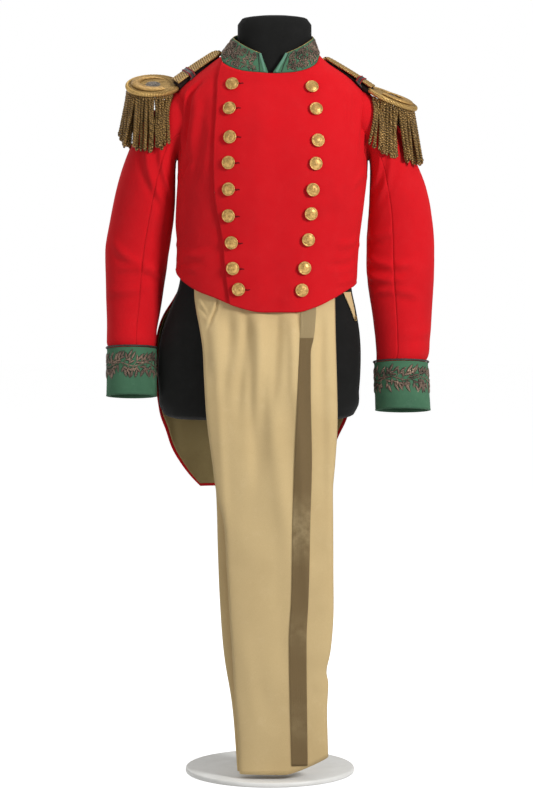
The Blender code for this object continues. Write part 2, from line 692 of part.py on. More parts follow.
def armhole_cutter(name, sign):
    bm = bmesh.new()
    bmesh.ops.create_cone(
        bm, cap_ends=True, segments=ARMHOLE_SEGMENTS, radius1=1.0, radius2=1.0, depth=ARMHOLE_CUT_LENGTH,
    )
    turn = Matrix.Rotation(math.radians(90), 4, "Y")
    size = Matrix.Diagonal((1.0, ARMHOLE_HALF_DEPTH, ARMHOLE_HALF_HEIGHT, 1.0))
    place = Matrix.Translation((sign * ARMHOLE_CUT_X, 0.0, ARMHOLE_HEIGHT))
    bmesh.ops.transform(bm, matrix=place @ size @ turn, verts=bm.verts)
    mesh = bpy.data.meshes.new(name)
    bm.to_mesh(mesh)
    bm.free()
    cutter = object_of(name, mesh, SCARLET, cutters)
    cutter.hide_render = True
    cutter.display_type = "WIRE"
    return cutter


def cut_armhole(panel, cutter):
    cut = panel.modifiers.new("armhole", "BOOLEAN")
    cut.operation = "DIFFERENCE"
    cut.object = cutter


def build_coat_body():
    cutter = {1.0: armhole_cutter("armhole_right", 1.0), -1.0: armhole_cutter("armhole_left", -1.0)}

    overlap = cloth("coat_front_left", overlap_point, 16, COAT_ROWS, COAT_WALL, SCARLET)
    cut_armhole(overlap, cutter[1.0])

    def underlap(u, v):
        return coat_point(*coat_panel_angle(
            panel_edge(front_side_seam, -1.0, -1.0),
            lambda z: angle_of_x(coat, closing_edge(z) + UNDERLAP_REACH, z),
            u, v * COAT_ROWS,
        ))

    under = cloth("coat_front_right", underlap, 10, COAT_ROWS, COAT_WALL, SCARLET)
    cut_armhole(under, cutter[-1.0])

    for side, sign in (("left", 1.0), ("right", -1.0)):
        # The mirrored panel runs the other way round, so that its outside stays outside
        def side_body(u, v, sign=sign):
            near = u if sign > 0 else 1 - u
            return coat_point(*coat_panel_angle(
                panel_edge(front_side_seam, sign, 1.0),
                panel_edge(side_back_seam, sign, -1.0, 1.5),
                near, v * SIDE_ROWS,
            ))

        panel = cloth(f"coat_side_{side}", side_body, 6, SIDE_ROWS, COAT_WALL, SCARLET)
        cut_armhole(panel, cutter[sign])

        def back(u, v, sign=sign):
            near = u if sign > 0 else 1 - u
            return coat_point(*coat_panel_angle(
                panel_edge(side_back_seam, sign, 1.0, 1.5),
                panel_edge(lambda z: 180.0, sign, -1.0),
                near, v * COAT_ROWS,
            ))

        panel = cloth(f"coat_back_{side}", back, 5, COAT_ROWS, COAT_WALL, SCARLET)
        cut_armhole(panel, cutter[sign])


# Standing collar

collar_top = by_key(COLLAR_TOP)


def collar_point(u, v):
    """From one front edge round the back to the other, base to top."""
    gap = COLLAR_LOW_GAP + (COLLAR_HIGH_GAP - COLLAR_LOW_GAP) * v
    degrees = gap + (360 - 2 * gap) * u
    wrapped = degrees if degrees <= 180 else degrees - 360
    height = neck_level(abs(wrapped))
    lift = overlap_lift(section_point(coat, wrapped, height).x) if abs(wrapped) < 90 else 0.0
    low = coat_point(wrapped, height, lift)
    low.z += COLLAR_LIFT
    angle = math.radians(degrees)
    row = COLLAR_TOP_SECTION
    half_depth = (row.back - row.front) / 2
    middle = (row.back + row.front) / 2
    high = Vector((
        row.centre + row.half_width * signed_power(math.sin(angle), 2 / SQUARENESS),
        middle - half_depth * signed_power(math.cos(angle), 2 / SQUARENESS),
        collar_top(abs(wrapped)),
    ))
    return low.lerp(high, v)


def build_collar():
    cloth("standing_collar", collar_point, 28, 2, COLLAR_WALL, GREEN)


# Sleeves, cuffs and their cord

def ring_point(ring, degrees):
    """A point of a sleeve ring: 0 is its outer side and 90 its front."""
    angle = math.radians(degrees)
    middle = Vector(((ring.outer_x + ring.inner_x) / 2, ring.centre_y, (ring.outer_z + ring.inner_z) / 2))
    across = Vector(((ring.outer_x - ring.inner_x) / 2, 0.0, (ring.outer_z - ring.inner_z) / 2))
    lean = math.radians(ring.lean)
    forward = Vector((0.0, -math.cos(lean), math.sin(lean)))
    return middle + across * math.cos(angle) + forward * (ring.half_depth * math.sin(angle))


def armhole_point(sign, degrees):
    """The first ring, just inside the armhole and standing a little off the body."""
    angle = math.radians(degrees)
    y = -(ARMHOLE_HALF_DEPTH - ARMHOLE_INSET) * math.sin(angle)
    z = ARMHOLE_HEIGHT + (ARMHOLE_HALF_HEIGHT - ARMHOLE_INSET) * math.cos(angle)
    return Vector((side_of(coat, y, z, sign) + sign * ARMHOLE_STAND, y, z))


def sleeve_surface(sign, table):
    """A function of the angle and of how far down the sleeve, 0 to 1."""
    found = {}

    def point_at(degrees, share, row=None):
        """Row, where given, is a whole ring's number instead of the share."""
        key = round(degrees, 4)
        if key not in found:
            points = [armhole_point(sign, degrees)] + [ring_point(ring, degrees) for ring in table]
            places = [0.0]
            for before, after in zip(table_centres(table), table_centres(table)[1:]):
                places.append(places[-1] + (after - before).length)
            found[key] = [smooth_curve(places, [point[axis] for point in points]) for axis in range(3)]
            found["places"] = places
        place = share * found["places"][-1] if row is None else found["places"][row]
        return Vector([curve(place) for curve in found[key]])

    def table_centres(rows):
        first = Vector((side_of(coat, 0.0, ARMHOLE_HEIGHT, sign), 0.0, ARMHOLE_HEIGHT))
        return [first] + [
            Vector(((row.outer_x + row.inner_x) / 2, row.centre_y, (row.outer_z + row.inner_z) / 2))
            for row in rows
        ]

    return point_at


sleeve_surfaces = {-1.0: sleeve_surface(-1.0, LEFT_SLEEVE), 1.0: sleeve_surface(1.0, RIGHT_SLEEVE)}


def build_sleeves():
    for side, sign, table in (("left", 1.0, RIGHT_SLEEVE), ("right", -1.0, LEFT_SLEEVE)):
        surface = sleeve_surfaces[sign]
        for name, start, end, columns in (
            ("sleeve_top", -SLEEVE_SEAM, SLEEVE_SEAM, 10),
            ("sleeve_under", SLEEVE_SEAM, 360 - SLEEVE_SEAM, 7),
        ):
            rows = len(table)

            def point_at(u, v, start=start, end=end, surface=surface, sign=sign, rows=rows):
                share = u if sign > 0 else 1 - u
                degrees = start + SLEEVE_OPEN + (end - start - 2 * SLEEVE_OPEN) * share
                return surface(degrees, 0.0, round(v * rows))

            cloth(f"{name}_{side}", point_at, columns, rows, SLEEVE_WALL, SCARLET)


def cuff_point(table, degrees, share, lift=0.0):
    rows = columns_of(list(reversed(table)))
    height = table[0].height + (table[-1].height - table[0].height) * share
    angle = math.radians(degrees)
    lean = math.radians(CUFF_LEAN)
    reach = (rows["half_depth"](height) + lift) * math.sin(angle)
    return Vector((
        rows["centre_x"](height) + (rows["half_width"](height) + lift) * math.cos(angle),
        rows["centre_y"](height) - reach * math.cos(lean),
        height + reach * math.sin(lean),
    ))


def build_cuffs():
    for side, table in (("left", RIGHT_CUFF), ("right", LEFT_CUFF)):
        cloth(
            f"cuff_{side}", lambda u, v, table=table: cuff_point(table, 360 * u, v),
            24, 2, CUFF_WALL, GREEN, closed=True,
        )
        curve = bpy.data.curves.new(f"cuff_cord_{side}", "CURVE")
        curve.dimensions = "3D"
        curve.bevel_depth = CORD_RADIUS
        curve.bevel_resolution = 0
        curve.use_fill_caps = False
        line = curve.splines.new("POLY")
        count = 24
        line.points.add(count - 1)
        for i in range(count):
            point = cuff_point(table, 360 * i / count, 0.0, CORD_PROUD)
            point.z += CORD_RISE
            line.points[i].co = (*point, 1.0)
        line.use_cyclic_u = True
        cord = bpy.data.objects.new(f"cuff_cord_{side}", curve)
        curve.materials.append(CORD)
        parts.objects.link(cord)


# Tails and their linings


def tail_point(sign, edge, u, v, depth=0.0, inset=0.0):
    """From the centre vent to the free edge, waist to lower edge."""
    height = TAIL_TOP + (TAIL_BOTTOM - TAIL_TOP) * v
    height = min(max(height, TAIL_BOTTOM + inset), TAIL_TOP - inset * LINING_TOP_SHARE)
    start = 180 - VENT_HALF_ANGLE
    degrees = start + (edge(height) - start) * u
    return section_point(tail, sign * degrees, height, -depth)


def lining_point(sign, edge, u, v):
    """The lining lies on the tail's own points, moved in, and stops short of its free edge."""
    depth = TAIL_WALL + SEAM_GAP * 4
    point = tail_point(sign, edge, u, v, depth, LINING_INSET)
    if u < 1:
        return point
    before = tail_point(sign, edge, 1 - 1 / TAIL_COLUMNS, v, depth, LINING_INSET)
    return before.lerp(point, 1 - LINING_INSET / (point - before).length)


def build_tails():
    for side, sign, table in (("left", 1.0, RIGHT_TAIL), ("right", -1.0, LEFT_TAIL)):
        edge = by_key(table)

        def outer(u, v, sign=sign, edge=edge):
            return tail_point(sign, edge, u if sign > 0 else 1 - u, v)

        def inner(u, v, sign=sign, edge=edge):
            near = u if sign > 0 else 1 - u
            return lining_point(sign, edge, near, v)

        cloth(f"tail_{side}", outer, TAIL_COLUMNS, TAIL_ROWS, TAIL_WALL, SCARLET)
        cloth(f"tail_lining_{side}", inner, TAIL_COLUMNS, TAIL_ROWS, LINING_WALL, BUFF)


def build_turnback():
    """The pointed buff piece that shows below the coat at the wearer's left hip."""

    def point_at(u, v):
        height = TURNBACK_TIP + (TURNBACK_TOP - TURNBACK_TIP) * v
        middle = 71 - 5.0 * v
        half = 1.6 + 5.6 * v
        return section_point(form, middle + half * (2 * u - 1), height, 0.0030)

    cloth("tail_turnback", point_at, 3, 4, TROUSER_WALL, BUFF)


# Trousers


def waist_bend(x):
    """How the pressed legs bend back round the waist, 0 in the middle and 1 at its side."""
    reach = min(abs(x - WAIST_CURVE.centre) / WAIST_CURVE.half_width, 0.999)
    return 1 - (1 - reach ** SQUARENESS) ** (1 / SQUARENESS)


def hem_rise(x):
    """The hem climbs towards the front crease."""
    return HEM_RISE * min(max((x - HEM_RISE_START) / HEM_RISE_WIDTH, 0.0), 1.0) ** 1.3


def leg_folds(x, height):
    """Soft folds that fall from the waist and fade down the leg."""
    total = 0.0
    for fold in LEG_FOLDS:
        fade = blend(fold.bottom, fold.bottom + 0.22, height)
        fade *= 1 - blend(fold.top - 0.045, fold.top, height)
        centre = fold.x + fold.lean * (fold.top - height)
        total += fold.depth * fade * math.exp(-(((x - centre) / fold.width) ** 2))
    return total


def leg_point(rows, u, v, folds):
    """A point round the pressed leg: u 0 is its viewer's right edge, and the front comes first."""
    angle = -2 * math.pi * u
    height = rows["low"] + (rows["high"] - rows["low"]) * v
    left = rows["left"](height)
    right = rows["right"](height)
    x = (left + right) / 2 + (right - left) / 2 * signed_power(math.cos(angle), LEG_POWER)
    half_depth = rows["half_depth"](height)
    front = signed_power(math.sin(angle), LEG_POWER)
    y = rows["depth"](height) + rows["bend"](height) * waist_bend(x) + half_depth * front
    if folds and front < 0:
        y += leg_folds(x, height) * front
    height += hem_rise(x) * (1 - blend(0.0, 0.4, v))
    return Vector((x, y, height))


def leg_table(table):
    rows = columns_of(table)
    rows["low"] = table[0].height
    rows["high"] = table[-1].height
    return rows


front_leg = leg_table(FRONT_LEG)
back_leg = leg_table(BACK_LEG)


def build_trousers():
    cloth(
        "trouser_leg_left", lambda u, v: leg_point(front_leg, 1 - u, v, True),
        26, FRONT_LEG_ROWS, TROUSER_WALL, BUFF, closed=True,
    )
    cloth(
        "trouser_leg_right", lambda u, v: leg_point(back_leg, 1 - u, v, False),
        14, BACK_LEG_ROWS, TROUSER_WALL, BUFF, closed=True,
    )

    def band(u, v):
        height = BAND_LOW + (BAND_HIGH - BAND_LOW) * v
        angle = 2 * math.pi * u
        x = BAND_CENTRE + BAND_HALF_WIDTH * signed_power(math.cos(angle), BAND_END_POWER)
        back = front_of(form, x, height) - BAND_CLEAR
        depth = BAND_DEPTH / 2
        return Vector((x, back - depth + depth * signed_power(math.sin(angle), BAND_FACE_POWER), height))

    cloth("trouser_waistband", band, 20, 1, TROUSER_WALL, BUFF, closed=True)


stripe = columns_of(STRIPE_EDGES)


def panel_tree(name):
    """A panel's outer surface, for what is sewn on it."""
    mesh = bpy.data.objects[name].data
    points = [vert.co for vert in mesh.vertices]
    return BVHTree.FromPolygons(points, [face.vertices for face in mesh.polygons])


def build_stripe(name, leg, towards, top, leg_rows, shift):
    """A lace band laid on the leg's own facets, row by row; towards runs from its outside to the leg."""
    tree = panel_tree(leg)
    low = FRONT_LEG[0].height
    high = FRONT_LEG[-1].height
    levels = [low + (high - low) * j / leg_rows for j in range(leg_rows)]
    levels = [level for level in levels if STRIPE_BOTTOM + 0.01 < level < top - 0.01]
    levels = [STRIPE_BOTTOM, *levels, top]
    rows = len(levels) - 1

    def stripe_point(u, v):
        height = levels[round(v * rows)]
        share = u if towards > 0 else 1 - u
        x = stripe["left"](height) + (stripe["right"](height) - stripe["left"](height)) * share + shift
        start = Vector((x, -RAY_START * towards, height))
        point, _, _, _ = tree.ray_cast(start, Vector((0.0, towards, 0.0)))
        point.y -= towards * (LACE_WALL + STRIPE_CLEAR)
        return point

    cloth(name, stripe_point, 2, rows, LACE_WALL, LACE)


def build_stripes():
    build_stripe("side_stripe_left", "trouser_leg_left", 1.0, FRONT_STRIPE_TOP, FRONT_LEG_ROWS, 0.0)
    build_stripe(
        "side_stripe_right", "trouser_leg_right", -1.0, BACK_STRIPE_TOP, BACK_LEG_ROWS, BACK_STRIPE_SHIFT,
    )


# Buttons


def seat_button(name, panel, start, towards):
    """A domed button whose shank ends a seam gap off the cloth that lies in this direction."""
    point, outward, _, _ = panel_tree(panel).ray_cast(start, towards)
    if outward.dot(towards) > 0:
        outward = -outward
    button = turned(name, BUTTON_PROFILE, 10, GILT)
    button.rotation_mode = "QUATERNION"
    button.rotation_quaternion = outward.to_track_quat("Z", "Y")
    button.location = point + outward * (BUTTON_SHANK + SEAM_GAP)
    return button


def build_buttons():
    for index, row in enumerate(BUTTON_ROWS, start=1):
        for column, x, height in (
            ("right", row.left_x, row.left_height),
            ("left", row.right_x, row.right_height),
        ):
            start = Vector((x, -RAY_START, height))
            seat_button(f"button_{column}_{index}", "coat_front_left", start, Vector((0.0, 1.0, 0.0)))
    for side, sign in (("left", 1.0), ("right", -1.0)):
        start = section_point(coat, sign * WAIST_BUTTON_ANGLE, WAIST_BUTTON_HEIGHT)
        start.y = RAY_START
        seat_button(f"waist_button_{side}", f"coat_back_{side}", start, Vector((0.0, -1.0, 0.0)))


# Epaulettes


def epaulette_frame(row):
    """The disc's place: its local +X points outwards, away from the neck."""
    sign = -1.0 if row.side == "left" else 1.0
    outward = Vector((sign, 0.0, 0.0))
    up = Vector((0.0, 0.0, 1.0))
    tilt_out = Matrix.Rotation(sign * math.radians(row.outward_tilt), 3, "Y")
    tilt_on = Matrix.Rotation(math.radians(row.forward_tilt), 3, "X")
    up = tilt_on @ (tilt_out @ up)
    outward = (tilt_on @ (tilt_out @ outward)).normalized()
    side = up.cross(outward).normalized()
    place = Matrix((outward, side, up)).transposed().to_4x4()
    place.translation = (row.centre_x, row.centre_y, row.centre_z)
    return place


def sleeve_tree(sign):
    """The sleeve's and the coat's outer surfaces, for the strands to lie on."""
    verts = []
    faces = []
    around = FEEL_AROUND
    for j in range(FEEL_ALONG + 1):
        for i in range(around):
            verts.append(sleeve_surfaces[sign](360 * i / around, FEEL_SLEEVE_SHARE * j / FEEL_ALONG))
    for j in range(FEEL_ALONG):
        for i in range(around):
            k = (i + 1) % around
            faces.append((j * around + i, j * around + k, (j + 1) * around + k, (j + 1) * around + i))
    first = len(verts)
    steps = FEEL_COAT_STEPS
    for j in range(steps + 1):
        height = FEEL_COAT_HEIGHTS[0] + FEEL_COAT_HEIGHTS[1] * j / steps
        for i in range(steps + 1):
            degrees = FEEL_COAT_ANGLES[0] + FEEL_COAT_ANGLES[1] * i / steps
            verts.append(section_point(coat, sign * degrees, height))
    for j in range(steps):
        for i in range(steps):
            at = first + j * (steps + 1) + i
            faces.append((at, at + 1, at + steps + 2, at + steps + 1))
    return BVHTree.FromPolygons(verts, faces)


def kept_clear(tree, point, centre):
    """The point, moved off the sleeve when it is too near or inside."""
    for _ in range(4):
        near, _, _, distance = tree.find_nearest(point)
        away = Vector((near.x - centre.x, near.y - centre.y, 0.0))
        inside = away.length > (Vector((point.x - centre.x, point.y - centre.y, 0.0))).length
        if not inside and distance >= STRAND_CLEARANCE:
            break
        out = away.normalized() if inside or distance < 1e-6 else (point - near).normalized()
        out = Vector((out.x, out.y, max(out.z, 0.0))).normalized()
        point = near + out * STRAND_CLEARANCE
    return point


def strand_route(tree, root, outward, length, centre):
    """Where a strand's middle runs from its root, lying on the sleeve where it meets it."""
    points = [root]
    heading = (outward * STRAND_SPLAY + Vector((0.0, 0.0, -1.0))).normalized()
    step = length / STRAND_STEPS
    for _ in range(STRAND_STEPS):
        wanted = kept_clear(tree, points[-1] + heading * step, centre)
        move = (wanted - points[-1]).normalized() * step
        points.append(points[-1] + move)
    return points


def build_fringe(row, place):
    """A strip with strands drawn down from every second cell of its underside."""
    sign = -1.0 if row.side == "left" else 1.0
    tree = sleeve_tree(sign)
    wearer = "right" if row.side == "left" else "left"
    cells = 2 * STRANDS + 1
    start = -180 + (STRIP_OPEN_FRONT if sign > 0 else STRIP_OPEN_BACK)
    sweep = 360 - STRIP_OPEN_FRONT - STRIP_OPEN_BACK
    bm = bmesh.new()
    rings = []
    for i in range(cells + 1):
        angle = math.radians(start + sweep * i / cells)
        ring = []
        for radius, height in (
            (STRIP_RADIUS - STRIP_HALF, STRIP_TOP), (STRIP_RADIUS + STRIP_HALF, STRIP_TOP),
            (STRIP_RADIUS + STRIP_HALF, STRIP_BOTTOM), (STRIP_RADIUS - STRIP_HALF, STRIP_BOTTOM),
        ):
            local = Vector((radius * math.cos(angle), radius * math.sin(angle), height))
            ring.append(bm.verts.new(place @ local))
        rings.append(ring)
    bm.faces.new(rings[0])
    bm.faces.new(list(reversed(rings[-1])))
    for i in range(cells):
        for j in range(4):
            k = (j + 1) % 4
            if j == 2 and i % 2 == 1:
                continue
            bm.faces.new((rings[i][j], rings[i + 1][j], rings[i + 1][k], rings[i][k]))
    centre = Vector((row.centre_x - sign * STRAND_CENTRE_INSET, 0.0, 0.0))
    for i in range(1, cells, 2):
        corners = [rings[i][2], rings[i + 1][2], rings[i + 1][3], rings[i][3]]
        root = sum((corner.co for corner in corners), Vector()) / 4
        angle = math.radians(start + sweep * (i + 0.5) / cells)
        outward = (place.to_3x3() @ Vector((math.cos(angle), math.sin(angle), 0.0))).normalized()
        outward.z = 0.0
        length = STRAND_LENGTH + STRAND_UNEVEN * math.sin(2.4 * i)
        route = strand_route(tree, root, outward, length, centre)
        offsets = [corner.co - root for corner in corners]
        for at in (STRAND_MIDDLE, STRAND_STEPS):
            ring = [bm.verts.new(route[at] + offset * STRAND_SIZE) for offset in offsets]
            for j in range(4):
                k = (j + 1) % 4
                bm.faces.new((corners[j], corners[k], ring[k], ring[j]))
            corners = ring
        bm.faces.new(corners)
    bmesh.ops.recalc_face_normals(bm, faces=bm.faces[:])
    mesh = bpy.data.meshes.new("fringe")
    bm.to_mesh(mesh)
    bm.free()
    object_of(f"epaulette_fringe_{wearer}", mesh, BULLION)


def build_epaulettes():
    for row in EPAULETTES:
        sign = -1.0 if row.side == "left" else 1.0
        wearer = "right" if row.side == "left" else "left"
        place = epaulette_frame(row)
        disc = turned(f"epaulette_disc_{wearer}", DISC_PROFILE, 26, BULLION)
        disc.matrix_world = place

        # Crescent, full at the outer end and thin at its tips beside the strap
        rings = []
        for i in range(15):
            share = 2 * i / 14 - 1
            angle = math.radians(CRESCENT_REACH * share)
            fat = CRESCENT_THIN + CRESCENT_FULLNESS * math.cos(math.radians(CRESCENT_TAPER * share))
            ring = []
            for j in range(6):
                turn = 2 * math.pi * j / 6
                radius = CRESCENT_RADIUS + fat * math.cos(turn)
                height = FIELD_HEIGHT + CRESCENT_FLATNESS * fat * (1 + math.sin(turn)) + SEAM_GAP / 3
                ring.append(place @ Vector((radius * math.cos(angle), radius * math.sin(angle), height)))
            rings.append(ring)
        loft(f"epaulette_crescent_{wearer}", rings, GILT)

        # Strap from on top of the disc's rim up the shoulder
        low = place @ Vector((STRAP_LAP - DISC_RADIUS, 0.0, RIM_TOP + STRAP_THICKNESS / 2 + row.clear))
        high = Vector((row.neck_x, 0.0, row.neck_z))
        run = (high - low).normalized()
        tilt = math.radians(row.forward_tilt)
        width = Vector((0.0, -math.cos(tilt), -math.sin(tilt)))
        width = (width - run * width.dot(run)).normalized()
        face = width.cross(run) if width.cross(run).z > 0 else run.cross(width)

        def strap_point(u, v, low=low, high=high, width=width):
            half = STRAP_WIDTH / 2 * (1 - STRAP_NARROWING * v) * (1.0 if v < STRAP_END else STRAP_END_WIDTH)
            return low.lerp(high, v) + width * (half * (2 * u - 1))

        def strap_flipped(u, v, sign=sign, strap_point=strap_point):
            return strap_point(u if sign < 0 else 1 - u, v)

        strap = cloth(f"epaulette_strap_{wearer}", strap_flipped, 2, 14, STRAP_THICKNESS, BULLION)
        strap.modifiers["wall"].offset = 0.0

        # Keeper band over the strap, its ends sewn to the shoulder
        middle = low.lerp(high, row.keeper)
        half = STRAP_WIDTH / 2 + KEEPER_SIDE
        over = STRAP_THICKNESS / 2 + KEEPER_TOP
        profile = [(-half - 0.001, None), (-half, -0.002), (-half, over - 0.001), (-half + 0.002, over)]
        profile += [(0.0, over + 0.0003)] + [(-across, height) for across, height in reversed(profile)]

        def keeper_point(
            u, v, middle=middle, run=run, width=width, face=face, profile=profile, foot=row.foot,
        ):
            across, height = profile[round(u * (len(profile) - 1))]
            point = middle + run * (KEEPER_LENGTH * (v - 0.5)) + width * across
            if height is None:
                return Vector((point.x, point.y, shoulder_height(point.x, point.y) + foot))
            return point + face * height

        keeper = cloth(f"epaulette_keeper_{wearer}", keeper_point, len(profile) - 1, 1, KEEPER_WALL, CORD)
        if keeper.data.polygons[3].normal.dot(face) < 0:
            keeper.data.flip_normals()
        build_fringe(row, place)


build_form()
build_stand()
build_coat_body()
build_collar()
build_sleeves()
build_cuffs()
build_tails()
build_turnback()
build_trousers()
build_stripes()
build_buttons()
build_epaulettes()
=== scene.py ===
import math
import random

import bpy
import numpy as np
from mathutils import Matrix, Vector
from mathutils.bvhtree import BVHTree


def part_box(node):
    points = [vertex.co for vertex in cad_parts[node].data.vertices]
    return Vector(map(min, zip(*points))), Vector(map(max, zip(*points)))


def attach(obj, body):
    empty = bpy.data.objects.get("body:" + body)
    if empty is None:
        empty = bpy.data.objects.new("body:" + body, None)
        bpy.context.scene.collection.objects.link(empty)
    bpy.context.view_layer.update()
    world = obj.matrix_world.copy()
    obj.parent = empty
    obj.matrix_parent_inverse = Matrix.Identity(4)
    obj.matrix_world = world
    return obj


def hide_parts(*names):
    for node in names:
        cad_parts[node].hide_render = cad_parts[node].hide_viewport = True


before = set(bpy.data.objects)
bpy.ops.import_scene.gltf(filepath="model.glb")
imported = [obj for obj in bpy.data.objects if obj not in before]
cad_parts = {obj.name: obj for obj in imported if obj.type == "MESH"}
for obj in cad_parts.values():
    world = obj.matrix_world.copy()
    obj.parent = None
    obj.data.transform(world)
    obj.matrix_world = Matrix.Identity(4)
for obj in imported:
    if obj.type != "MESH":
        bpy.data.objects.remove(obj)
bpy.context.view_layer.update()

# Scarlet coat, green facings, buff trousers and gold epaulettes on a black form.
# Metres, +Z up, front towards -Y. Left and right are the wearer's, so left is at +X.

view = {
    "pixel": 0.002,  # metres a pixel at the middle of the form
    "distance": 5.0,
    "cameraHeight": 1.027,
    "aim": (-0.007, 0.0, 0.749),
    "lens": 112.5,
    "sensor": 36.0,
}


def makeCamera():
    data = bpy.data.cameras.new("studioCamera")
    data.lens = view["lens"]
    data.sensor_width = view["sensor"]
    data.clip_end = 60
    camera = bpy.data.objects.new("studioCamera", data)
    camera.location = (0.0, -view["distance"], view["cameraHeight"])
    toAim = Vector(view["aim"]) - camera.location
    camera.rotation_mode = "QUATERNION"
    camera.rotation_quaternion = toAim.to_track_quat("-Z", "Y")
    bpy.context.scene.collection.objects.link(camera)
    bpy.context.scene.camera = camera


makeCamera()
print("camera placed")


# Curves and sections, on whole arrays at once

def table(names, *rows):
    return dict(zip(names.split(), np.array(rows, float).T))


def smoothCurve(keys, values):
    keys = np.array(keys, float)
    values = np.array(values, float)
    slopes = np.gradient(values, keys, axis=0)
    steps = np.diff(values, axis=0)
    inner = slopes[1:-1]
    inner[steps[1:] * steps[:-1] <= 0] = 0.0  # level at turning points, so nothing overshoots

    def value(at):
        at = np.clip(np.asarray(at, float), keys[0], keys[-1])
        i = np.clip(np.searchsorted(keys, at) - 1, 0, len(keys) - 2)
        span = keys[i + 1] - keys[i]
        t = (at - keys[i]) / span
        extra = (1,) * (values.ndim - 1)
        t = t.reshape(t.shape + extra)
        span = span.reshape(span.shape + extra)
        low = (1 + 2 * t) * (1 - t) ** 2 * values[i] + t * (1 - t) ** 2 * span * slopes[i]
        high = t * t * (3 - 2 * t) * values[i + 1] + t * t * (t - 1) * span * slopes[i + 1]
        return low + high

    return value


def curvesOf(columns):
    names = list(columns)
    return {name: smoothCurve(columns[names[0]], columns[name]) for name in names[1:]}


def blend(low, high, at):
    t = np.clip((at - low) / (high - low), 0.0, 1.0)
    return t * t * (3 - 2 * t)


def signedPower(value, power):
    return np.sign(value) * np.abs(value) ** power


bodyShape = {
    "squareness": 2.4,
    "coatWall": 0.0025,
    "lapGap": 0.0013,
    "seamOpen": 0.0003,
}

coat = curvesOf(table(
    "height halfWidth front back centre",
    (0.905, 0.178, -0.116, 0.100, -0.008), (0.960, 0.179, -0.117, 0.098, -0.008),
    (1.000, 0.181, -0.119, 0.0975, -0.0075), (1.050, 0.181, -0.122, 0.098, -0.005),
    (1.105, 0.185, -0.128, 0.103, -0.002), (1.170, 0.188, -0.134, 0.111, 0.003),
    (1.240, 0.189, -0.133, 0.118, 0.006), (1.300, 0.188, -0.122, 0.120, 0.007),
    (1.335, 0.190, -0.109, 0.117, 0.004), (1.357, 0.1885, -0.099, 0.112, 0.0015),
    (1.372, 0.178, -0.092, 0.107, 0.000), (1.395, 0.1518, -0.085, 0.100, 0.0008),
    (1.418, 0.1185, -0.079, 0.089, 0.000), (1.436, 0.0955, -0.074, 0.078, 0.0025),
    (1.455, 0.079, -0.068, 0.068, 0.005),
))
form = curvesOf(table(
    "height halfWidth front back centre",
    (0.712, 0.168, -0.066, 0.082, -0.022), (0.716, 0.182, -0.076, 0.092, -0.022),
    (0.728, 0.194, -0.083, 0.101, -0.022), (0.770, 0.201, -0.086, 0.108, -0.022),
    (0.820, 0.203, -0.088, 0.112, -0.021), (0.880, 0.199, -0.087, 0.108, -0.019),
    (0.930, 0.186, -0.085, 0.099, -0.014), (0.975, 0.173, -0.085, 0.091, -0.010),
    (1.000, 0.171, -0.0855, 0.088, -0.0075), (1.040, 0.171, -0.0875, 0.0885, -0.005),
    (1.072, 0.1732, -0.105, 0.091, -0.0035), (1.105, 0.1755, -0.1185, 0.0945, -0.002),
    (1.170, 0.1785, -0.1245, 0.1025, 0.003), (1.240, 0.1795, -0.1235, 0.1095, 0.006),
    (1.295, 0.178, -0.1125, 0.1105, 0.007), (1.325, 0.177, -0.101, 0.108, 0.005),
    (1.347, 0.173, -0.090, 0.102, 0.003), (1.365, 0.160, -0.083, 0.097, 0.001),
    (1.388, 0.135, -0.075, 0.090, 0.001), (1.410, 0.105, -0.067, 0.080, 0.002),
    (1.430, 0.0795, -0.059, 0.070, 0.007), (1.455, 0.0735, -0.054, 0.063, 0.009),
    (1.490, 0.0735, -0.053, 0.062, 0.009), (1.503, 0.068, -0.048, 0.057, 0.009),
    (1.510, 0.054, -0.036, 0.045, 0.009), (1.513, 0.030, -0.018, 0.027, 0.009),
))
tail = curvesOf(table(
    "height halfWidth front back centre",
    (0.540, 0.206, -0.100, 0.119, -0.021), (0.700, 0.2085, -0.100, 0.121, -0.021),
    (0.850, 0.2095, -0.100, 0.1205, -0.021), (0.900, 0.2045, -0.098, 0.115, -0.018),
    (0.950, 0.191, -0.098, 0.105, -0.012), (1.000, 0.181, -0.119, 0.0975, -0.0075),
))
hemLevel = curvesOf(table(
    "angle height",
    (-180, 1.000), (-112, 1.000), (-90, 1.011), (-75, 0.999), (-60, 0.984), (-45, 0.968),
    (-30, 0.955), (-15, 0.938), (0, 0.927), (15, 0.927), (30, 0.938), (45, 0.954),
    (60, 0.969), (75, 0.978), (90, 0.986), (112, 1.000), (180, 1.000),
))["height"]
neckLevel = curvesOf(table(
    "angle height",
    (0, 1.393), (15, 1.3965), (30, 1.405), (45, 1.4155), (60, 1.4265),
    (75, 1.433), (90, 1.436), (120, 1.441), (150, 1.446), (180, 1.448),
))["height"]
frontSideSeam = curvesOf(table(
    "height angle", (0.90, 72), (1.20, 72), (1.25, 76), (1.32, 84), (1.37, 90),
))["angle"]
sideBackSeam = curvesOf(table(
    "height angle",
    (0.90, 150), (1.05, 150), (1.12, 146), (1.20, 136), (1.27, 121), (1.30, 112), (1.33, 101), (1.37, 90),
))["angle"]
closingEdge = curvesOf(table(
    "height x",
    (0.940, -0.0780), (0.996, -0.0859), (1.086, -0.0950), (1.127, -0.1030),
    (1.370, -0.1035), (1.440, -0.0850),
))["x"]


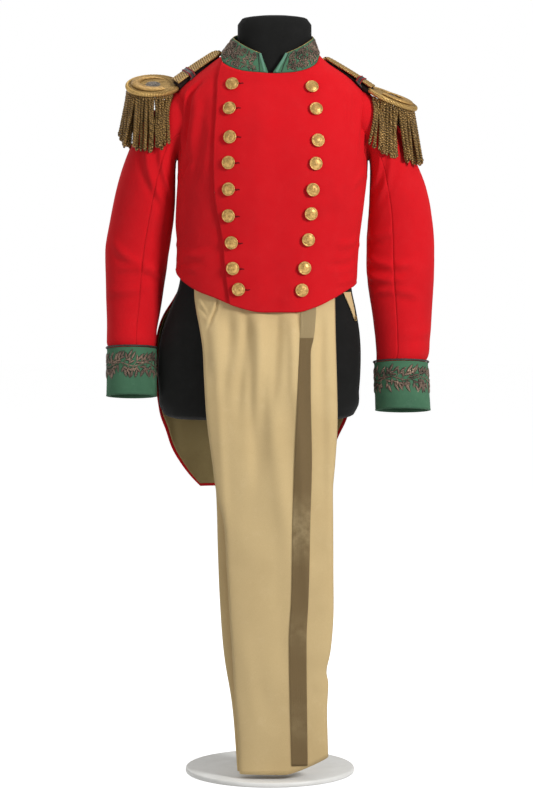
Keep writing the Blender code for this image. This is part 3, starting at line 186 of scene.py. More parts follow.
def sectionPoint(section, degrees, height, lift=0.0):
    angle = np.radians(degrees)
    halfDepth = (section["back"](height) - section["front"](height)) / 2
    middle = (section["back"](height) + section["front"](height)) / 2
    power = 2 / bodyShape["squareness"]
    x = section["centre"](height) + (section["halfWidth"](height) + lift) * signedPower(np.sin(angle), power)
    y = middle - (halfDepth + lift) * signedPower(np.cos(angle), power)
    return np.stack([x, y, height + 0 * x], -1)


def angleOfX(section, x, height):
    reach = np.clip((x - section["centre"](height)) / section["halfWidth"](height), -0.999, 0.999)
    return np.degrees(np.arcsin(signedPower(reach, bodyShape["squareness"] / 2)))


def sideOf(section, y, height, sign):
    halfDepth = (section["back"](height) - section["front"](height)) / 2
    middle = (section["back"](height) + section["front"](height)) / 2
    reach = np.minimum(np.abs(y - middle) / halfDepth, 0.999)
    power = bodyShape["squareness"]
    bow = (1 - reach ** power) ** (1 / power)
    return section["centre"](height) + sign * section["halfWidth"](height) * bow


def unit(vectors):
    return vectors / np.maximum(np.linalg.norm(vectors, axis=-1, keepdims=True), 1e-12)


def coatNormal(degrees, height):
    across = sectionPoint(coat, degrees + 1, height) - sectionPoint(coat, degrees - 1, height)
    upward = sectionPoint(coat, degrees, height + 0.003) - sectionPoint(coat, degrees, height - 0.003)
    return unit(np.cross(across, upward))


def coatPoint(degrees, height, lift=0.0):
    lift = np.asarray(lift, float) + 0 * degrees
    return sectionPoint(coat, degrees, height) + coatNormal(degrees, height) * lift[..., None]


# Folds: each row runs from one point to another, with a bow, a width and a depth (above 0 is a ridge)

def foldField(folds, across, height):
    total = np.zeros(np.broadcast(across, height).shape)
    for fromA, fromZ, toA, toZ, bow, width, depth in folds:
        run = np.array([toA - fromA, toZ - fromZ])
        length = np.linalg.norm(run)
        run = run / length
        a = across - fromA
        z = height - fromZ
        along = (a * run[0] + z * run[1]) / length
        bent = 4 * bow * np.clip(along, 0, 1) * (1 - np.clip(along, 0, 1))
        off = (-a * run[1] + z * run[0] - bent) / width
        fade = blend(-0.12, 0.22, along) * (1 - blend(0.72, 1.12, along))
        total += depth * fade * (np.exp(-off * off) - 0.40 * np.exp(-((off - 1.7) ** 2)))
    return total


def softWaves(across, height, seed, size, depth, count=7):
    pick = random.Random(seed)
    total = np.zeros(np.broadcast(across, height).shape)
    for _ in range(count):
        turn = pick.uniform(0, math.pi)
        wave = 2 * math.pi / (size * pick.uniform(0.7, 1.6))
        shift = pick.uniform(0, 2 * math.pi)
        total += np.sin((across * math.cos(turn) + height * math.sin(turn)) * wave + shift)
    return depth * total / count


# Meshes


def gridPoints(pointAt, columns, rows, sharesU=None, sharesV=None):
    sharesU = np.linspace(0, 1, columns + 1) if sharesU is None else sharesU
    sharesV = np.linspace(0, 1, rows + 1) if sharesV is None else sharesV
    u, v = np.meshgrid(sharesU, sharesV)
    return pointAt(u, v)


def evenShares(pointAt, count, level, weight):
    # columns an even distance apart at this level, closer where the weight is larger
    u = np.linspace(0, 1, 2001)
    points = pointAt(u, np.full(2001, level))
    steps = np.linalg.norm(np.diff(points, axis=0), axis=1) * weight(points[1:])
    gone = np.concatenate([[0], np.cumsum(steps)])
    return np.interp(np.linspace(0, gone[-1], count + 1), gone, u)


def meshFrom(name, points, faces, uvs=None):
    mesh = bpy.data.meshes.new(name)
    mesh.from_pydata(points.tolist(), [], faces.tolist() if hasattr(faces, "tolist") else faces)
    if uvs is not None:
        layer = mesh.uv_layers.new(name="clothUv")
        corners = np.empty(len(mesh.loops), np.int32)
        mesh.loops.foreach_get("vertex_index", corners)
        layer.data.foreach_set("uv", np.ascontiguousarray(uvs[corners], np.float32).ravel())
    mesh.shade_smooth()
    return mesh


def placePiece(name, mesh, look, nodes=()):
    piece = bpy.data.objects.new(name, mesh)
    mesh.materials.append(look)
    bpy.context.scene.collection.objects.link(piece)
    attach(piece, "root")
    if nodes:
        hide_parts(*nodes)
    return piece


def gridUv(points):
    stepsU = np.linalg.norm(np.diff(points, axis=1), axis=-1).mean(axis=0)
    stepsV = np.linalg.norm(np.diff(points, axis=0), axis=-1).mean(axis=1)
    alongU = np.concatenate([[0], np.cumsum(stepsU)])
    alongV = np.concatenate([[0], np.cumsum(stepsV)])
    u, v = np.meshgrid(alongU, alongV)
    return np.stack([u, v], -1)


def cutSize(points):
    across = np.linalg.norm(np.diff(points, axis=1), axis=-1).sum(axis=1).max()
    down = np.linalg.norm(np.diff(points, axis=0), axis=-1).sum(axis=0).max()
    side = points[:-1, 1:] - points[:-1, :-1]
    up = points[1:, :-1] - points[:-1, :-1]
    area = np.linalg.norm(np.cross(side, up), axis=-1).sum()
    return across, down, min(area, across * down)


def clothShell(name, points, wall, look, closed=False, keep=None):
    # one open wall, which stands for the node that has its name
    rows, columns = points.shape[0] - 1, points.shape[1] - 1
    count = columns if closed else columns + 1
    index = np.arange((rows + 1) * count).reshape(rows + 1, count)
    right = np.roll(index, -1, axis=1) if closed else None
    low = index[:-1] if closed else index[:-1, :-1]
    lowRight = right[:-1] if closed else index[:-1, 1:]
    highRight = right[1:] if closed else index[1:, 1:]
    high = index[1:] if closed else index[1:, :-1]
    faces = np.stack([low, lowRight, highRight, high], -1).reshape(-1, 4)
    flat = points[:, :count].reshape(-1, 3)
    uvs = gridUv(points)[:, :count].reshape(-1, 2)
    if keep is not None:
        faces = faces[keep(flat)[faces].any(axis=1)]
        used = np.unique(faces)
        renumber = np.full(len(flat), -1)
        renumber[used] = np.arange(len(used))
        flat, uvs, faces = flat[used], uvs[used], renumber[faces]
    node = "".join("_" + letter.lower() if letter.isupper() else letter for letter in name)
    piece = placePiece(name, meshFrom(name, flat, faces, uvs), look, [node])
    shell = piece.modifiers.new("wall", "SOLIDIFY")
    shell.thickness = wall
    shell.offset = -1.0
    shell.use_even_offset = True
    width, length, area = cutSize(points)
    area = max(area, 0.301 * width * length)
    return piece


def newPile():
    return {"points": [], "faces": [], "uvs": [], "count": 0}


def addTube(pile, centres, sides, ups, halfWidths, halfHeights, around=8, lobes=0, lobeDepth=0.0, twist=0.0,
            closed=False):
    centres = np.asarray(centres, float)
    rings = len(centres)
    halfWidths = np.broadcast_to(halfWidths, (rings,))
    halfHeights = np.broadcast_to(halfHeights, (rings,))
    lengths = np.concatenate([[0], np.cumsum(np.linalg.norm(np.diff(centres, axis=0), axis=1))])
    angles = 2 * math.pi * np.arange(around) / around
    ring, turn = np.meshgrid(lengths, angles, indexing="ij")
    lobe = 1 - lobeDepth * (0.5 - 0.5 * np.cos(lobes * (turn - twist * ring)))
    wide = (np.cos(turn) * lobe * halfWidths[:, None])[..., None] * sides[:, None, :]
    tall = (np.sin(turn) * lobe * halfHeights[:, None])[..., None] * ups[:, None, :]
    points = centres[:, None, :] + wide + tall
    first = pile["count"]
    index = first + np.arange(rings * around).reshape(rings, around)
    after = np.roll(index, -1, axis=1)
    if closed:
        nextIndex = np.roll(index, -1, axis=0)
        nextAfter = np.roll(after, -1, axis=0)
        faces = np.stack([index, after, nextAfter, nextIndex], -1).reshape(-1, 4).tolist()
    else:
        faces = np.stack([index[:-1], after[:-1], after[1:], index[1:]], -1).reshape(-1, 4).tolist()
        faces.append(index[0, ::-1].tolist())
        faces.append(index[-1].tolist())
    pile["points"].append(points.reshape(-1, 3))
    pile["uvs"].append(np.stack([ring, turn * 0.001], -1).reshape(-1, 2))
    pile["faces"].extend(faces)
    pile["count"] += rings * around


def pilePiece(name, pile, look, nodes=()):
    mesh = meshFrom(name, np.concatenate(pile["points"]), pile["faces"], np.concatenate(pile["uvs"]))
    return placePiece(name, mesh, look, nodes)


def tubeFrames(centres, towards, closed=False):
    if closed:
        along = unit(np.roll(centres, -1, axis=0) - np.roll(centres, 1, axis=0))
    else:
        along = unit(np.gradient(centres, axis=0))
    sides = unit(np.cross(along, towards))
    return sides, unit(np.cross(sides, along))


def addCord(pile, centres, towards, *sizes, closed=False):
    sides, ups = tubeFrames(centres, towards, closed)
    addTube(pile, centres, sides, ups, *sizes, closed=closed)


def addTurned(pile, profile, place, around=40):
    # the profile runs from the axis at the top, out and down, to the axis at the bottom
    angles = 2 * math.pi * np.arange(around) / around
    radii, heights = np.array(profile, float).T
    inner = slice(1, len(profile) - 1)
    ring = np.stack([
        radii[inner, None] * np.cos(angles), radii[inner, None] * np.sin(angles),
        heights[inner, None] + 0 * angles,
    ], -1)
    ends = np.array([[0, 0, heights[0]], [0, 0, heights[-1]]])
    matrix = np.array(place)
    points = np.concatenate([ring.reshape(-1, 3), ends]) @ matrix[:3, :3].T + matrix[:3, 3]
    first = pile["count"]
    rows = ring.shape[0]
    index = first + np.arange(rows * around).reshape(rows, around)
    after = np.roll(index, -1, axis=1)
    faces = np.stack([index[1:], after[1:], after[:-1], index[:-1]], -1).reshape(-1, 4).tolist()
    top, bottom = first + rows * around, first + rows * around + 1
    faces += [[index[0, i], after[0, i], top] for i in range(around)]
    faces += [[after[-1, i], index[-1, i], bottom] for i in range(around)]
    local = np.concatenate([ring.reshape(-1, 3), ends])
    pile["points"].append(points)
    pile["uvs"].append(local[:, :2])
    pile["faces"].extend(faces)
    pile["count"] += len(points)


# Shader groups

def newGroup(name, inputs, outputs):
    group = bpy.data.node_groups.new(name, "ShaderNodeTree")
    for label, value in inputs:
        kind = "NodeSocketColor" if isinstance(value, tuple) else "NodeSocketFloat"
        made = group.interface.new_socket(name=label, in_out="INPUT", socket_type=kind)
        made.default_value = value
    for label in outputs:
        kind = "NodeSocketColor" if label == "Colour" else "NodeSocketFloat"
        group.interface.new_socket(name=label, in_out="OUTPUT", socket_type=kind)
    return group, group.nodes.new("NodeGroupInput"), group.nodes.new("NodeGroupOutput")


def addNode(tree, kind, inputs=(), **settings):
    node = tree.nodes.new(kind)
    for key, value in settings.items():
        setattr(node, key, value)
    for key, value in dict(inputs).items():
        if hasattr(value, "is_linked"):
            tree.links.new(value, node.inputs[key])
        else:
            node.inputs[key].default_value = value
    return node


def noiseOf(tree, coordinates, scale, detail=3.0, roughness=0.55):
    return addNode(tree, "ShaderNodeTexNoise", {
        "Vector": coordinates, "Scale": scale, "Detail": detail, "Roughness": roughness,
    }).outputs["Fac"]


def mathOf(tree, operation, first, second=0.0, clamp=False):
    return addNode(tree, "ShaderNodeMath", {0: first, 1: second}, operation=operation,
                   use_clamp=clamp).outputs[0]


def rangeOf(tree, value, low, high, toLow=0.0, toHigh=1.0):
    return addNode(tree, "ShaderNodeMapRange", {
        "Value": value, "From Min": low, "From Max": high, "To Min": toLow, "To Max": toHigh,
    }).outputs[0]


def mixOf(tree, factor, first, second, kind="MIX"):
    return addNode(tree, "ShaderNodeMix", {0: factor, 6: first, 7: second}, data_type="RGBA",
                   blend_type=kind).outputs[2]


def makeClothNap():
    # felted wool: mottled colour, rubbed and soiled patches, short fuzz
    group, given, out = newGroup("clothNap", [
        ("Colour", (0.5, 0.1, 0.1, 1)), ("Shade", (0.3, 0.05, 0.05, 1)),
        ("Rubbed", (0.6, 0.2, 0.2, 1)), ("Patch size", 9.0),
        ("Fuzz size", 900.0), ("Soil", 0.4), ("Wear", 0.3),
    ], ["Colour", "Roughness", "Height"])
    place = addNode(group, "ShaderNodeTexCoord").outputs["Object"]
    patches = noiseOf(group, place, given.outputs["Patch size"], 4.0)
    streaks = noiseOf(group, place, mathOf(group, "MULTIPLY", given.outputs["Patch size"], 6.0), 5.0, 0.7)
    fuzz = noiseOf(group, place, given.outputs["Fuzz size"], 2.0, 0.6)
    soil = mathOf(group, "MULTIPLY", rangeOf(group, patches, 0.46, 0.78), given.outputs["Soil"])
    wear = mathOf(group, "MULTIPLY", rangeOf(group, streaks, 0.56, 0.80), given.outputs["Wear"])
    soiled = mixOf(group, soil, given.outputs["Colour"], given.outputs["Shade"])
    rubbed = mixOf(group, wear, soiled, given.outputs["Rubbed"])
    grain = mathOf(group, "MULTIPLY", rangeOf(group, fuzz, 0.35, 0.70), 0.22)
    coloured = mixOf(group, grain, rubbed, given.outputs["Shade"])
    rough = rangeOf(group, streaks, 0.3, 0.8, 0.96, 0.80)
    group.links.new(coloured, out.inputs["Colour"])
    group.links.new(rough, out.inputs["Roughness"])
    group.links.new(fuzz, out.inputs["Height"])
    return group


def makeTwill():
    # diagonal ribs over the cloth's own length and width, in metres
    group, given, out = newGroup("twillWeave", [
        ("Rib pitch", 0.0012), ("Slope", 1.0),
    ], ["Height"])
    place = addNode(group, "ShaderNodeUVMap", uv_map="clothUv").outputs[0]
    parts = addNode(group, "ShaderNodeSeparateXYZ", {0: place})
    leaning = mathOf(group, "MULTIPLY", parts.outputs["Y"], given.outputs["Slope"])
    total = mathOf(group, "ADD", parts.outputs["X"], leaning)
    ribs = mathOf(group, "SINE", mathOf(group, "DIVIDE", mathOf(group, "MULTIPLY", total, 2 * math.pi),
                                        given.outputs["Rib pitch"]))
    group.links.new(rangeOf(group, ribs, -1.0, 1.0), out.inputs["Height"])
    return group


def makeMetalThread():
    # wrapped metal thread: bright turns, painted shade in the gaps between them, and tarnish
    group, given, out = newGroup("metalThread", [
        ("Bright", (0.6, 0.4, 0.2, 1)), ("Tarnish", (0.1, 0.07, 0.03, 1)),
        ("Turn pitch", 0.0008), ("Slant", 0.4),
        ("Tarnish amount", 0.5), ("Speckle size", 260.0),
        ("Gap depth", 0.45),
    ], ["Colour", "Roughness", "Height"])
    place = addNode(group, "ShaderNodeUVMap", uv_map="clothUv").outputs[0]
    object3d = addNode(group, "ShaderNodeTexCoord").outputs["Object"]
    parts = addNode(group, "ShaderNodeSeparateXYZ", {0: place})
    leaning = mathOf(group, "MULTIPLY", parts.outputs["Y"], given.outputs["Slant"])
    total = mathOf(group, "ADD", parts.outputs["X"], leaning)
    turns = mathOf(group, "SINE", mathOf(group, "DIVIDE", mathOf(group, "MULTIPLY", total, 2 * math.pi),
                                         given.outputs["Turn pitch"]))
    height = rangeOf(group, turns, -1.0, 1.0)
    speckle = noiseOf(group, object3d, given.outputs["Speckle size"], 3.0, 0.7)
    patches = noiseOf(group, object3d, 38.0, 3.0, 0.6)
    dull = mathOf(group, "MULTIPLY", rangeOf(group, patches, 0.30, 0.68), given.outputs["Tarnish amount"])
    dull = mathOf(group, "ADD", dull, rangeOf(group, speckle, 0.50, 0.72, 0.0, 0.55))
    # painted shade: darker in the gaps between the turns, where shade falls; dull also carries the tarnish
    # patches and speckle
    dull = mathOf(group, "ADD", dull, rangeOf(group, height, 0.50, 0.0, 0.0, given.outputs["Gap depth"]),
                  True)
    group.links.new(mixOf(group, dull, given.outputs["Bright"], given.outputs["Tarnish"]),
                    out.inputs["Colour"])
    group.links.new(rangeOf(group, dull, 0.0, 1.0, 0.30, 0.72), out.inputs["Roughness"])
    group.links.new(height, out.inputs["Height"])
    return group


def makeSurfaceWear():
    # rubbed and dirty places on smooth hard things
    group, given, out = newGroup("surfaceWear", [
        ("Colour", (0.6, 0.4, 0.2, 1)), ("Dirt", (0.1, 0.07, 0.03, 1)),
        ("Dirt amount", 0.5), ("Spot size", 120.0),
        ("Smooth", 0.25), ("Dull", 0.6),
    ], ["Colour", "Roughness", "Height"])
    place = addNode(group, "ShaderNodeTexCoord").outputs["Object"]
    spots = noiseOf(group, place, given.outputs["Spot size"], 5.0, 0.65)
    dirt = mathOf(group, "MULTIPLY", rangeOf(group, spots, 0.42, 0.68), given.outputs["Dirt amount"])
    rough = mixOf(group, dirt, given.outputs["Smooth"], given.outputs["Dull"])
    group.links.new(mixOf(group, dirt, given.outputs["Colour"], given.outputs["Dirt"]), out.inputs["Colour"])
    group.links.new(rough, out.inputs["Roughness"])
    group.links.new(spots, out.inputs["Height"])
    return group


groups = {
    "nap": makeClothNap(), "twill": makeTwill(), "thread": makeMetalThread(), "wear": makeSurfaceWear(),
}


def colour(red, green, blue):
    # screen values from 0 to 255, made linear
    shares = [value / 255 for value in (red, green, blue)]
    return tuple(s / 12.92 if s <= 10 / 255 else ((s + 0.055) / 1.055) ** 2.4 for s in shares) + (1.0,)


def newLook(name, **shaderValues):
    look = bpy.data.materials.new(name)
    look.use_nodes = True
    shader = look.node_tree.nodes["Principled BSDF"]
    for label, value in shaderValues.items():
        shader.inputs[label.replace("_", " ")].default_value = value
    look.diffuse_color = shaderValues.get("Base_Color", (0.5, 0.5, 0.5, 1.0))
    return look, look.node_tree, shader


def groupNode(tree, name, **values):
    node = addNode(tree, "ShaderNodeGroup", node_tree=groups[name])
    for label, value in values.items():
        node.inputs[label.replace("_", " ")].default_value = value
    return node


def bumpOf(tree, height, strength, distance, before=None):
    node = addNode(tree, "ShaderNodeBump", {"Height": height, "Strength": strength, "Distance": distance})
    if before is not None:
        tree.links.new(before, node.inputs["Normal"])
    return node.outputs["Normal"]


def woolLook(name, settings):
    look, tree, shader = newLook(name, Sheen_Weight=settings["sheen"], Sheen_Roughness=0.45,
                                 Specular_IOR_Level=0.18, Base_Color=settings["colour"])
    shader.inputs["Sheen Tint"].default_value = settings["sheenTint"]
    nap = groupNode(tree, "nap", Colour=settings["colour"], Shade=settings["shade"],
                    Rubbed=settings["rubbed"],
                    Patch_size=settings["patch"], Fuzz_size=settings["fuzz"], Soil=settings["soil"],
                    Wear=settings["wear"])
    twill = groupNode(tree, "twill", Rib_pitch=settings["pitch"], Slope=settings["slope"])
    tree.links.new(nap.outputs["Colour"], shader.inputs["Base Color"])
    tree.links.new(nap.outputs["Roughness"], shader.inputs["Roughness"])
    ribs = bumpOf(tree, twill.outputs["Height"], settings["weave"], 0.00020)
    tree.links.new(bumpOf(tree, nap.outputs["Height"], 0.35, 0.0004, ribs), shader.inputs["Normal"])
    return look


def threadLook(name, settings):
    look, tree, shader = newLook(name, Metallic=settings["metallic"], Base_Color=settings["bright"],
                                 Specular_IOR_Level=0.5)
    thread = groupNode(tree, "thread", Bright=settings["bright"], Tarnish=settings["tarnish"],
                       Turn_pitch=settings["pitch"], Slant=settings["slant"],
                       Tarnish_amount=settings["amount"],
                       Speckle_size=settings["speckle"], Gap_depth=settings["gap"])
    tree.links.new(thread.outputs["Colour"], shader.inputs["Base Color"])
    tree.links.new(thread.outputs["Roughness"], shader.inputs["Roughness"])
    tree.links.new(bumpOf(tree, thread.outputs["Height"], 0.7, settings["relief"]), shader.inputs["Normal"])
    return look


def wornLook(name, settings):
    look, tree, shader = newLook(name, Metallic=settings["metallic"], Base_Color=settings["colour"])
    wear = groupNode(tree, "wear", Colour=settings["colour"], Dirt=settings["dirt"],
                     Dirt_amount=settings["amount"],
                     Spot_size=settings["spots"], Smooth=settings["smooth"], Dull=settings["dull"])
    tree.links.new(wear.outputs["Colour"], shader.inputs["Base Color"])
    tree.links.new(wear.outputs["Roughness"], shader.inputs["Roughness"])
    tree.links.new(bumpOf(tree, wear.outputs["Height"], 0.25, 0.0002), shader.inputs["Normal"])
    return look


scarletWool = woolLook("scarletWool", {
    "colour": colour(214, 14, 26), "shade": colour(150, 8, 18), "rubbed": colour(222, 40, 44),
    "sheenTint": colour(255, 120, 110), "sheen": 0.10, "patch": 7.0, "fuzz": 1300.0, "soil": 0.30,
    "wear": 0.12,
    "pitch": 0.0009, "slope": 0.8, "weave": 0.18,
})
greenFacing = woolLook("greenFacing", {
    "colour": colour(72, 114, 86), "shade": colour(44, 78, 60), "rubbed": colour(104, 142, 114),
    "sheenTint": colour(170, 200, 180), "sheen": 0.12, "patch": 14.0, "fuzz": 1300.0, "soil": 0.5,
    "wear": 0.35,
    "pitch": 0.0009, "slope": 0.8, "weave": 0.18,
})
greenBinding = woolLook("greenBinding", {
    "colour": colour(98, 142, 120), "shade": colour(66, 106, 86), "rubbed": colour(122, 160, 138),
    "sheenTint": colour(190, 220, 200), "sheen": 0.12, "patch": 20.0, "fuzz": 1300.0, "soil": 0.4,
    "wear": 0.3,
    "pitch": 0.0009, "slope": 0.8, "weave": 0.3,
})
# painted shadow: near-black cloth for the sheet that fills the shaded gap under each epaulette strap
shadowFillCloth = woolLook("shadowFillCloth", {
    "colour": colour(34, 22, 20), "shade": colour(18, 13, 12), "rubbed": colour(58, 36, 32),
    "sheenTint": colour(120, 90, 80), "sheen": 0.05, "patch": 20.0, "fuzz": 1300.0, "soil": 0.4, "wear": 0.3,
    "pitch": 0.0009, "slope": 0.8, "weave": 0.3,
})
buffKersey = woolLook("buffKersey", {
    "colour": colour(214, 188, 138), "shade": colour(176, 146, 98), "rubbed": colour(232, 210, 164),
    "sheenTint": colour(255, 240, 210), "sheen": 0.12, "patch": 5.0, "fuzz": 900.0, "soil": 0.42,
    "wear": 0.25,
    "pitch": 0.0014, "slope": 0.9, "weave": 0.45,
})
buffLining = woolLook("buffLining", {
    "colour": colour(176, 156, 108), "shade": colour(128, 108, 66), "rubbed": colour(198, 178, 130),
    "sheenTint": colour(230, 220, 190), "sheen": 0.08, "patch": 11.0, "fuzz": 900.0, "soil": 0.6,
    "wear": 0.25,
    "pitch": 0.0010, "slope": 0.0, "weave": 0.30,
})
formJersey = woolLook("formJersey", {
    "colour": colour(22, 22, 21), "shade": colour(15, 15, 15), "rubbed": colour(29, 29, 28),
    "sheenTint": colour(90, 90, 90), "sheen": 0.05, "patch": 6.0, "fuzz": 700.0, "soil": 0.4, "wear": 0.2,
    "pitch": 0.0012, "slope": 0.0, "weave": 0.30,
})
# In the thread looks, gap sets how dark the painted shade in the gaps between the turns is.
darkCord = threadLook("darkCord", {
    "bright": colour(66, 56, 53), "tarnish": colour(20, 17, 17), "pitch": 0.0016, "slant": 1.6,
    "amount": 0.5, "speckle": 500.0, "relief": 0.0003, "metallic": 0.15, "gap": 0.45,
})
bullionGold = threadLook("bullionGold", {
    "bright": colour(200, 164, 98), "tarnish": colour(104, 78, 38), "pitch": 0.0010, "slant": 0.5,
    "amount": 0.45, "speckle": 420.0, "relief": 0.0003, "metallic": 0.45, "gap": 0.45,
})
rimGold = threadLook("rimGold", {
    "bright": colour(214, 176, 104), "tarnish": colour(112, 80, 34), "pitch": 0.00292, "slant": 0.0,
    "amount": 0.25, "speckle": 420.0, "relief": 0.0008, "metallic": 0.45, "gap": 0.95,
})
strapGold = threadLook("strapGold", {
    "bright": colour(212, 172, 98), "tarnish": colour(104, 72, 28), "pitch": 0.0240, "slant": 5.0,
    "amount": 0.30, "speckle": 420.0, "relief": 0.0006, "metallic": 0.45, "gap": 0.85,
})
fringeGold = threadLook("fringeGold", {
    "bright": colour(166, 128, 66), "tarnish": colour(42, 28, 8), "pitch": 0.0040, "slant": 0.8,
    "amount": 0.35, "speckle": 380.0, "relief": 0.0008, "metallic": 0.35, "gap": 0.95,
})
embroideryThread = threadLook("embroideryThread", {
    "bright": colour(172, 144, 122), "tarnish": colour(44, 38, 34), "pitch": 0.0012, "slant": 0.7,
    "amount": 0.75, "speckle": 420.0, "relief": 0.0004, "metallic": 0.35, "gap": 0.6,
})
# dark thread: the inner line of the collar binding, and the painted shadow outline round each embroidered
# leaf
darkLineAndLeafShadowThread = threadLook("darkLineAndLeafShadowThread", {
    "bright": colour(46, 44, 38), "tarnish": colour(16, 16, 14), "pitch": 0.0010, "slant": 0.7,
    "amount": 0.8, "speckle": 420.0, "relief": 0.0003, "metallic": 0.1, "gap": 0.45,
})
silverThread = threadLook("silverThread", {
    "bright": colour(168, 160, 150), "tarnish": colour(48, 42, 37), "pitch": 0.0010, "slant": 0.6,
    "amount": 0.6, "speckle": 420.0, "relief": 0.0003, "metallic": 0.6, "gap": 0.5,
})
crescentGold = wornLook("crescentGold", {
    "colour": colour(196, 158, 94), "dirt": colour(126, 92, 46), "amount": 0.8, "spots": 240.0,
    "smooth": 0.42, "dull": 0.66, "metallic": 0.55,
})
giltButton = wornLook("giltButton", {
    "colour": colour(204, 164, 96), "dirt": colour(126, 94, 44), "amount": 0.8, "spots": 170.0,
    "smooth": 0.40, "dull": 0.68, "metallic": 0.55,
})
standPaint = wornLook("standPaint", {
    "colour": colour(236, 235, 231), "dirt": colour(214, 212, 206), "amount": 0.5, "spots": 14.0,
    "smooth": 0.42, "dull": 0.6, "metallic": 0.0,
})
redBraid = woolLook("redBraid", {
    "colour": colour(170, 24, 28), "shade": colour(96, 14, 18), "rubbed": colour(190, 60, 54),
    "sheenTint": colour(255, 150, 140), "sheen": 0.1, "patch": 40.0, "fuzz": 1500.0, "soil": 0.5,
    "wear": 0.3,
    "pitch": 0.0008, "slope": 0.0, "weave": 0.4,
})
holeThread = woolLook("holeThread", {
    "colour": colour(120, 10, 16), "shade": colour(70, 5, 9), "rubbed": colour(150, 20, 24),
    "sheenTint": colour(200, 90, 90), "sheen": 0.1, "patch": 60.0, "fuzz": 1500.0, "soil": 0.4, "wear": 0.2,
    "pitch": 0.0006, "slope": 0.0, "weave": 0.6,
})


def makeStripeLook():
    # lengthwise ribs of metal lace with painted shade in the troughs between them, rubbed grey in places
    settings = {
        "lace": colour(140, 116, 74), "dark": colour(78, 60, 34), "worn": colour(166, 146, 106),
        "ribPitch": 0.0016, "patches": ((0.505, 0.075, 0.9), (0.30, 0.05, 0.35), (0.12, 0.05, 0.3)),
        "pieceEnd": 0.877,
    }
    look, tree, shader = newLook("laceStripe", Base_Color=settings["lace"], Metallic=0.25,
                                 Specular_IOR_Level=0.4)
    across = groupNode(tree, "twill", Rib_pitch=settings["ribPitch"], Slope=0.0)
    down = groupNode(tree, "twill", Rib_pitch=0.0011, Slope=14.0)
    place = addNode(tree, "ShaderNodeTexCoord").outputs["Object"]
    height = addNode(tree, "ShaderNodeSeparateXYZ", {0: place}).outputs["Z"]
    speckle = noiseOf(tree, place, 420.0, 3.0, 0.75)
    blotch = noiseOf(tree, place, 34.0, 4.0, 0.65)
    worn = None
    for level, reach, amount in settings["patches"]:
        far = mathOf(tree, "ABSOLUTE", mathOf(tree, "SUBTRACT", height, level))
        near = rangeOf(tree, far, reach, 0.0, 0.0, amount)
        worn = near if worn is None else mathOf(tree, "MAXIMUM", worn, near)
    worn = mathOf(tree, "MULTIPLY", worn, rangeOf(tree, blotch, 0.30, 0.62), True)
    piece = rangeOf(tree, height, settings["pieceEnd"] - 0.0008, settings["pieceEnd"] + 0.0008, 0.0, 0.80)
    worn = mathOf(tree, "MAXIMUM", worn, piece)
    worn = mathOf(tree, "ADD", worn, rangeOf(tree, speckle, 0.60, 0.78, 0.0, 0.35), True)
    # painted shade: the dark colour fills the troughs between the ribs, both ways
    ribbed = mixOf(tree, rangeOf(tree, across.outputs[0], 0.2, 0.9, 0.75, 0.05), settings["lace"],
                   settings["dark"])
    crossed = mixOf(tree, rangeOf(tree, down.outputs[0], 0.0, 1.0, 0.25, 0.0), ribbed, settings["dark"])
    tree.links.new(mixOf(tree, worn, crossed, settings["worn"]), shader.inputs["Base Color"])
    tree.links.new(rangeOf(tree, speckle, 0.3, 0.8, 0.45, 0.85), shader.inputs["Roughness"])
    ribs = bumpOf(tree, across.outputs[0], 0.8, 0.0004)
    tree.links.new(bumpOf(tree, down.outputs[0], 0.4, 0.0002, ribs), shader.inputs["Normal"])
    return look


laceStripe = makeStripeLook()
print("cloth, lace and metal finishes made")


# Dress form and stand

formSettings = {"columns": 80, "step": 0.009, "flangeRadius": 0.055, "poleRadius": 0.016,
                "footRadius": 0.030,
                "baseRadius": 0.170, "baseHeight": 0.010, "bottom": 0.712, "top": 1.513}


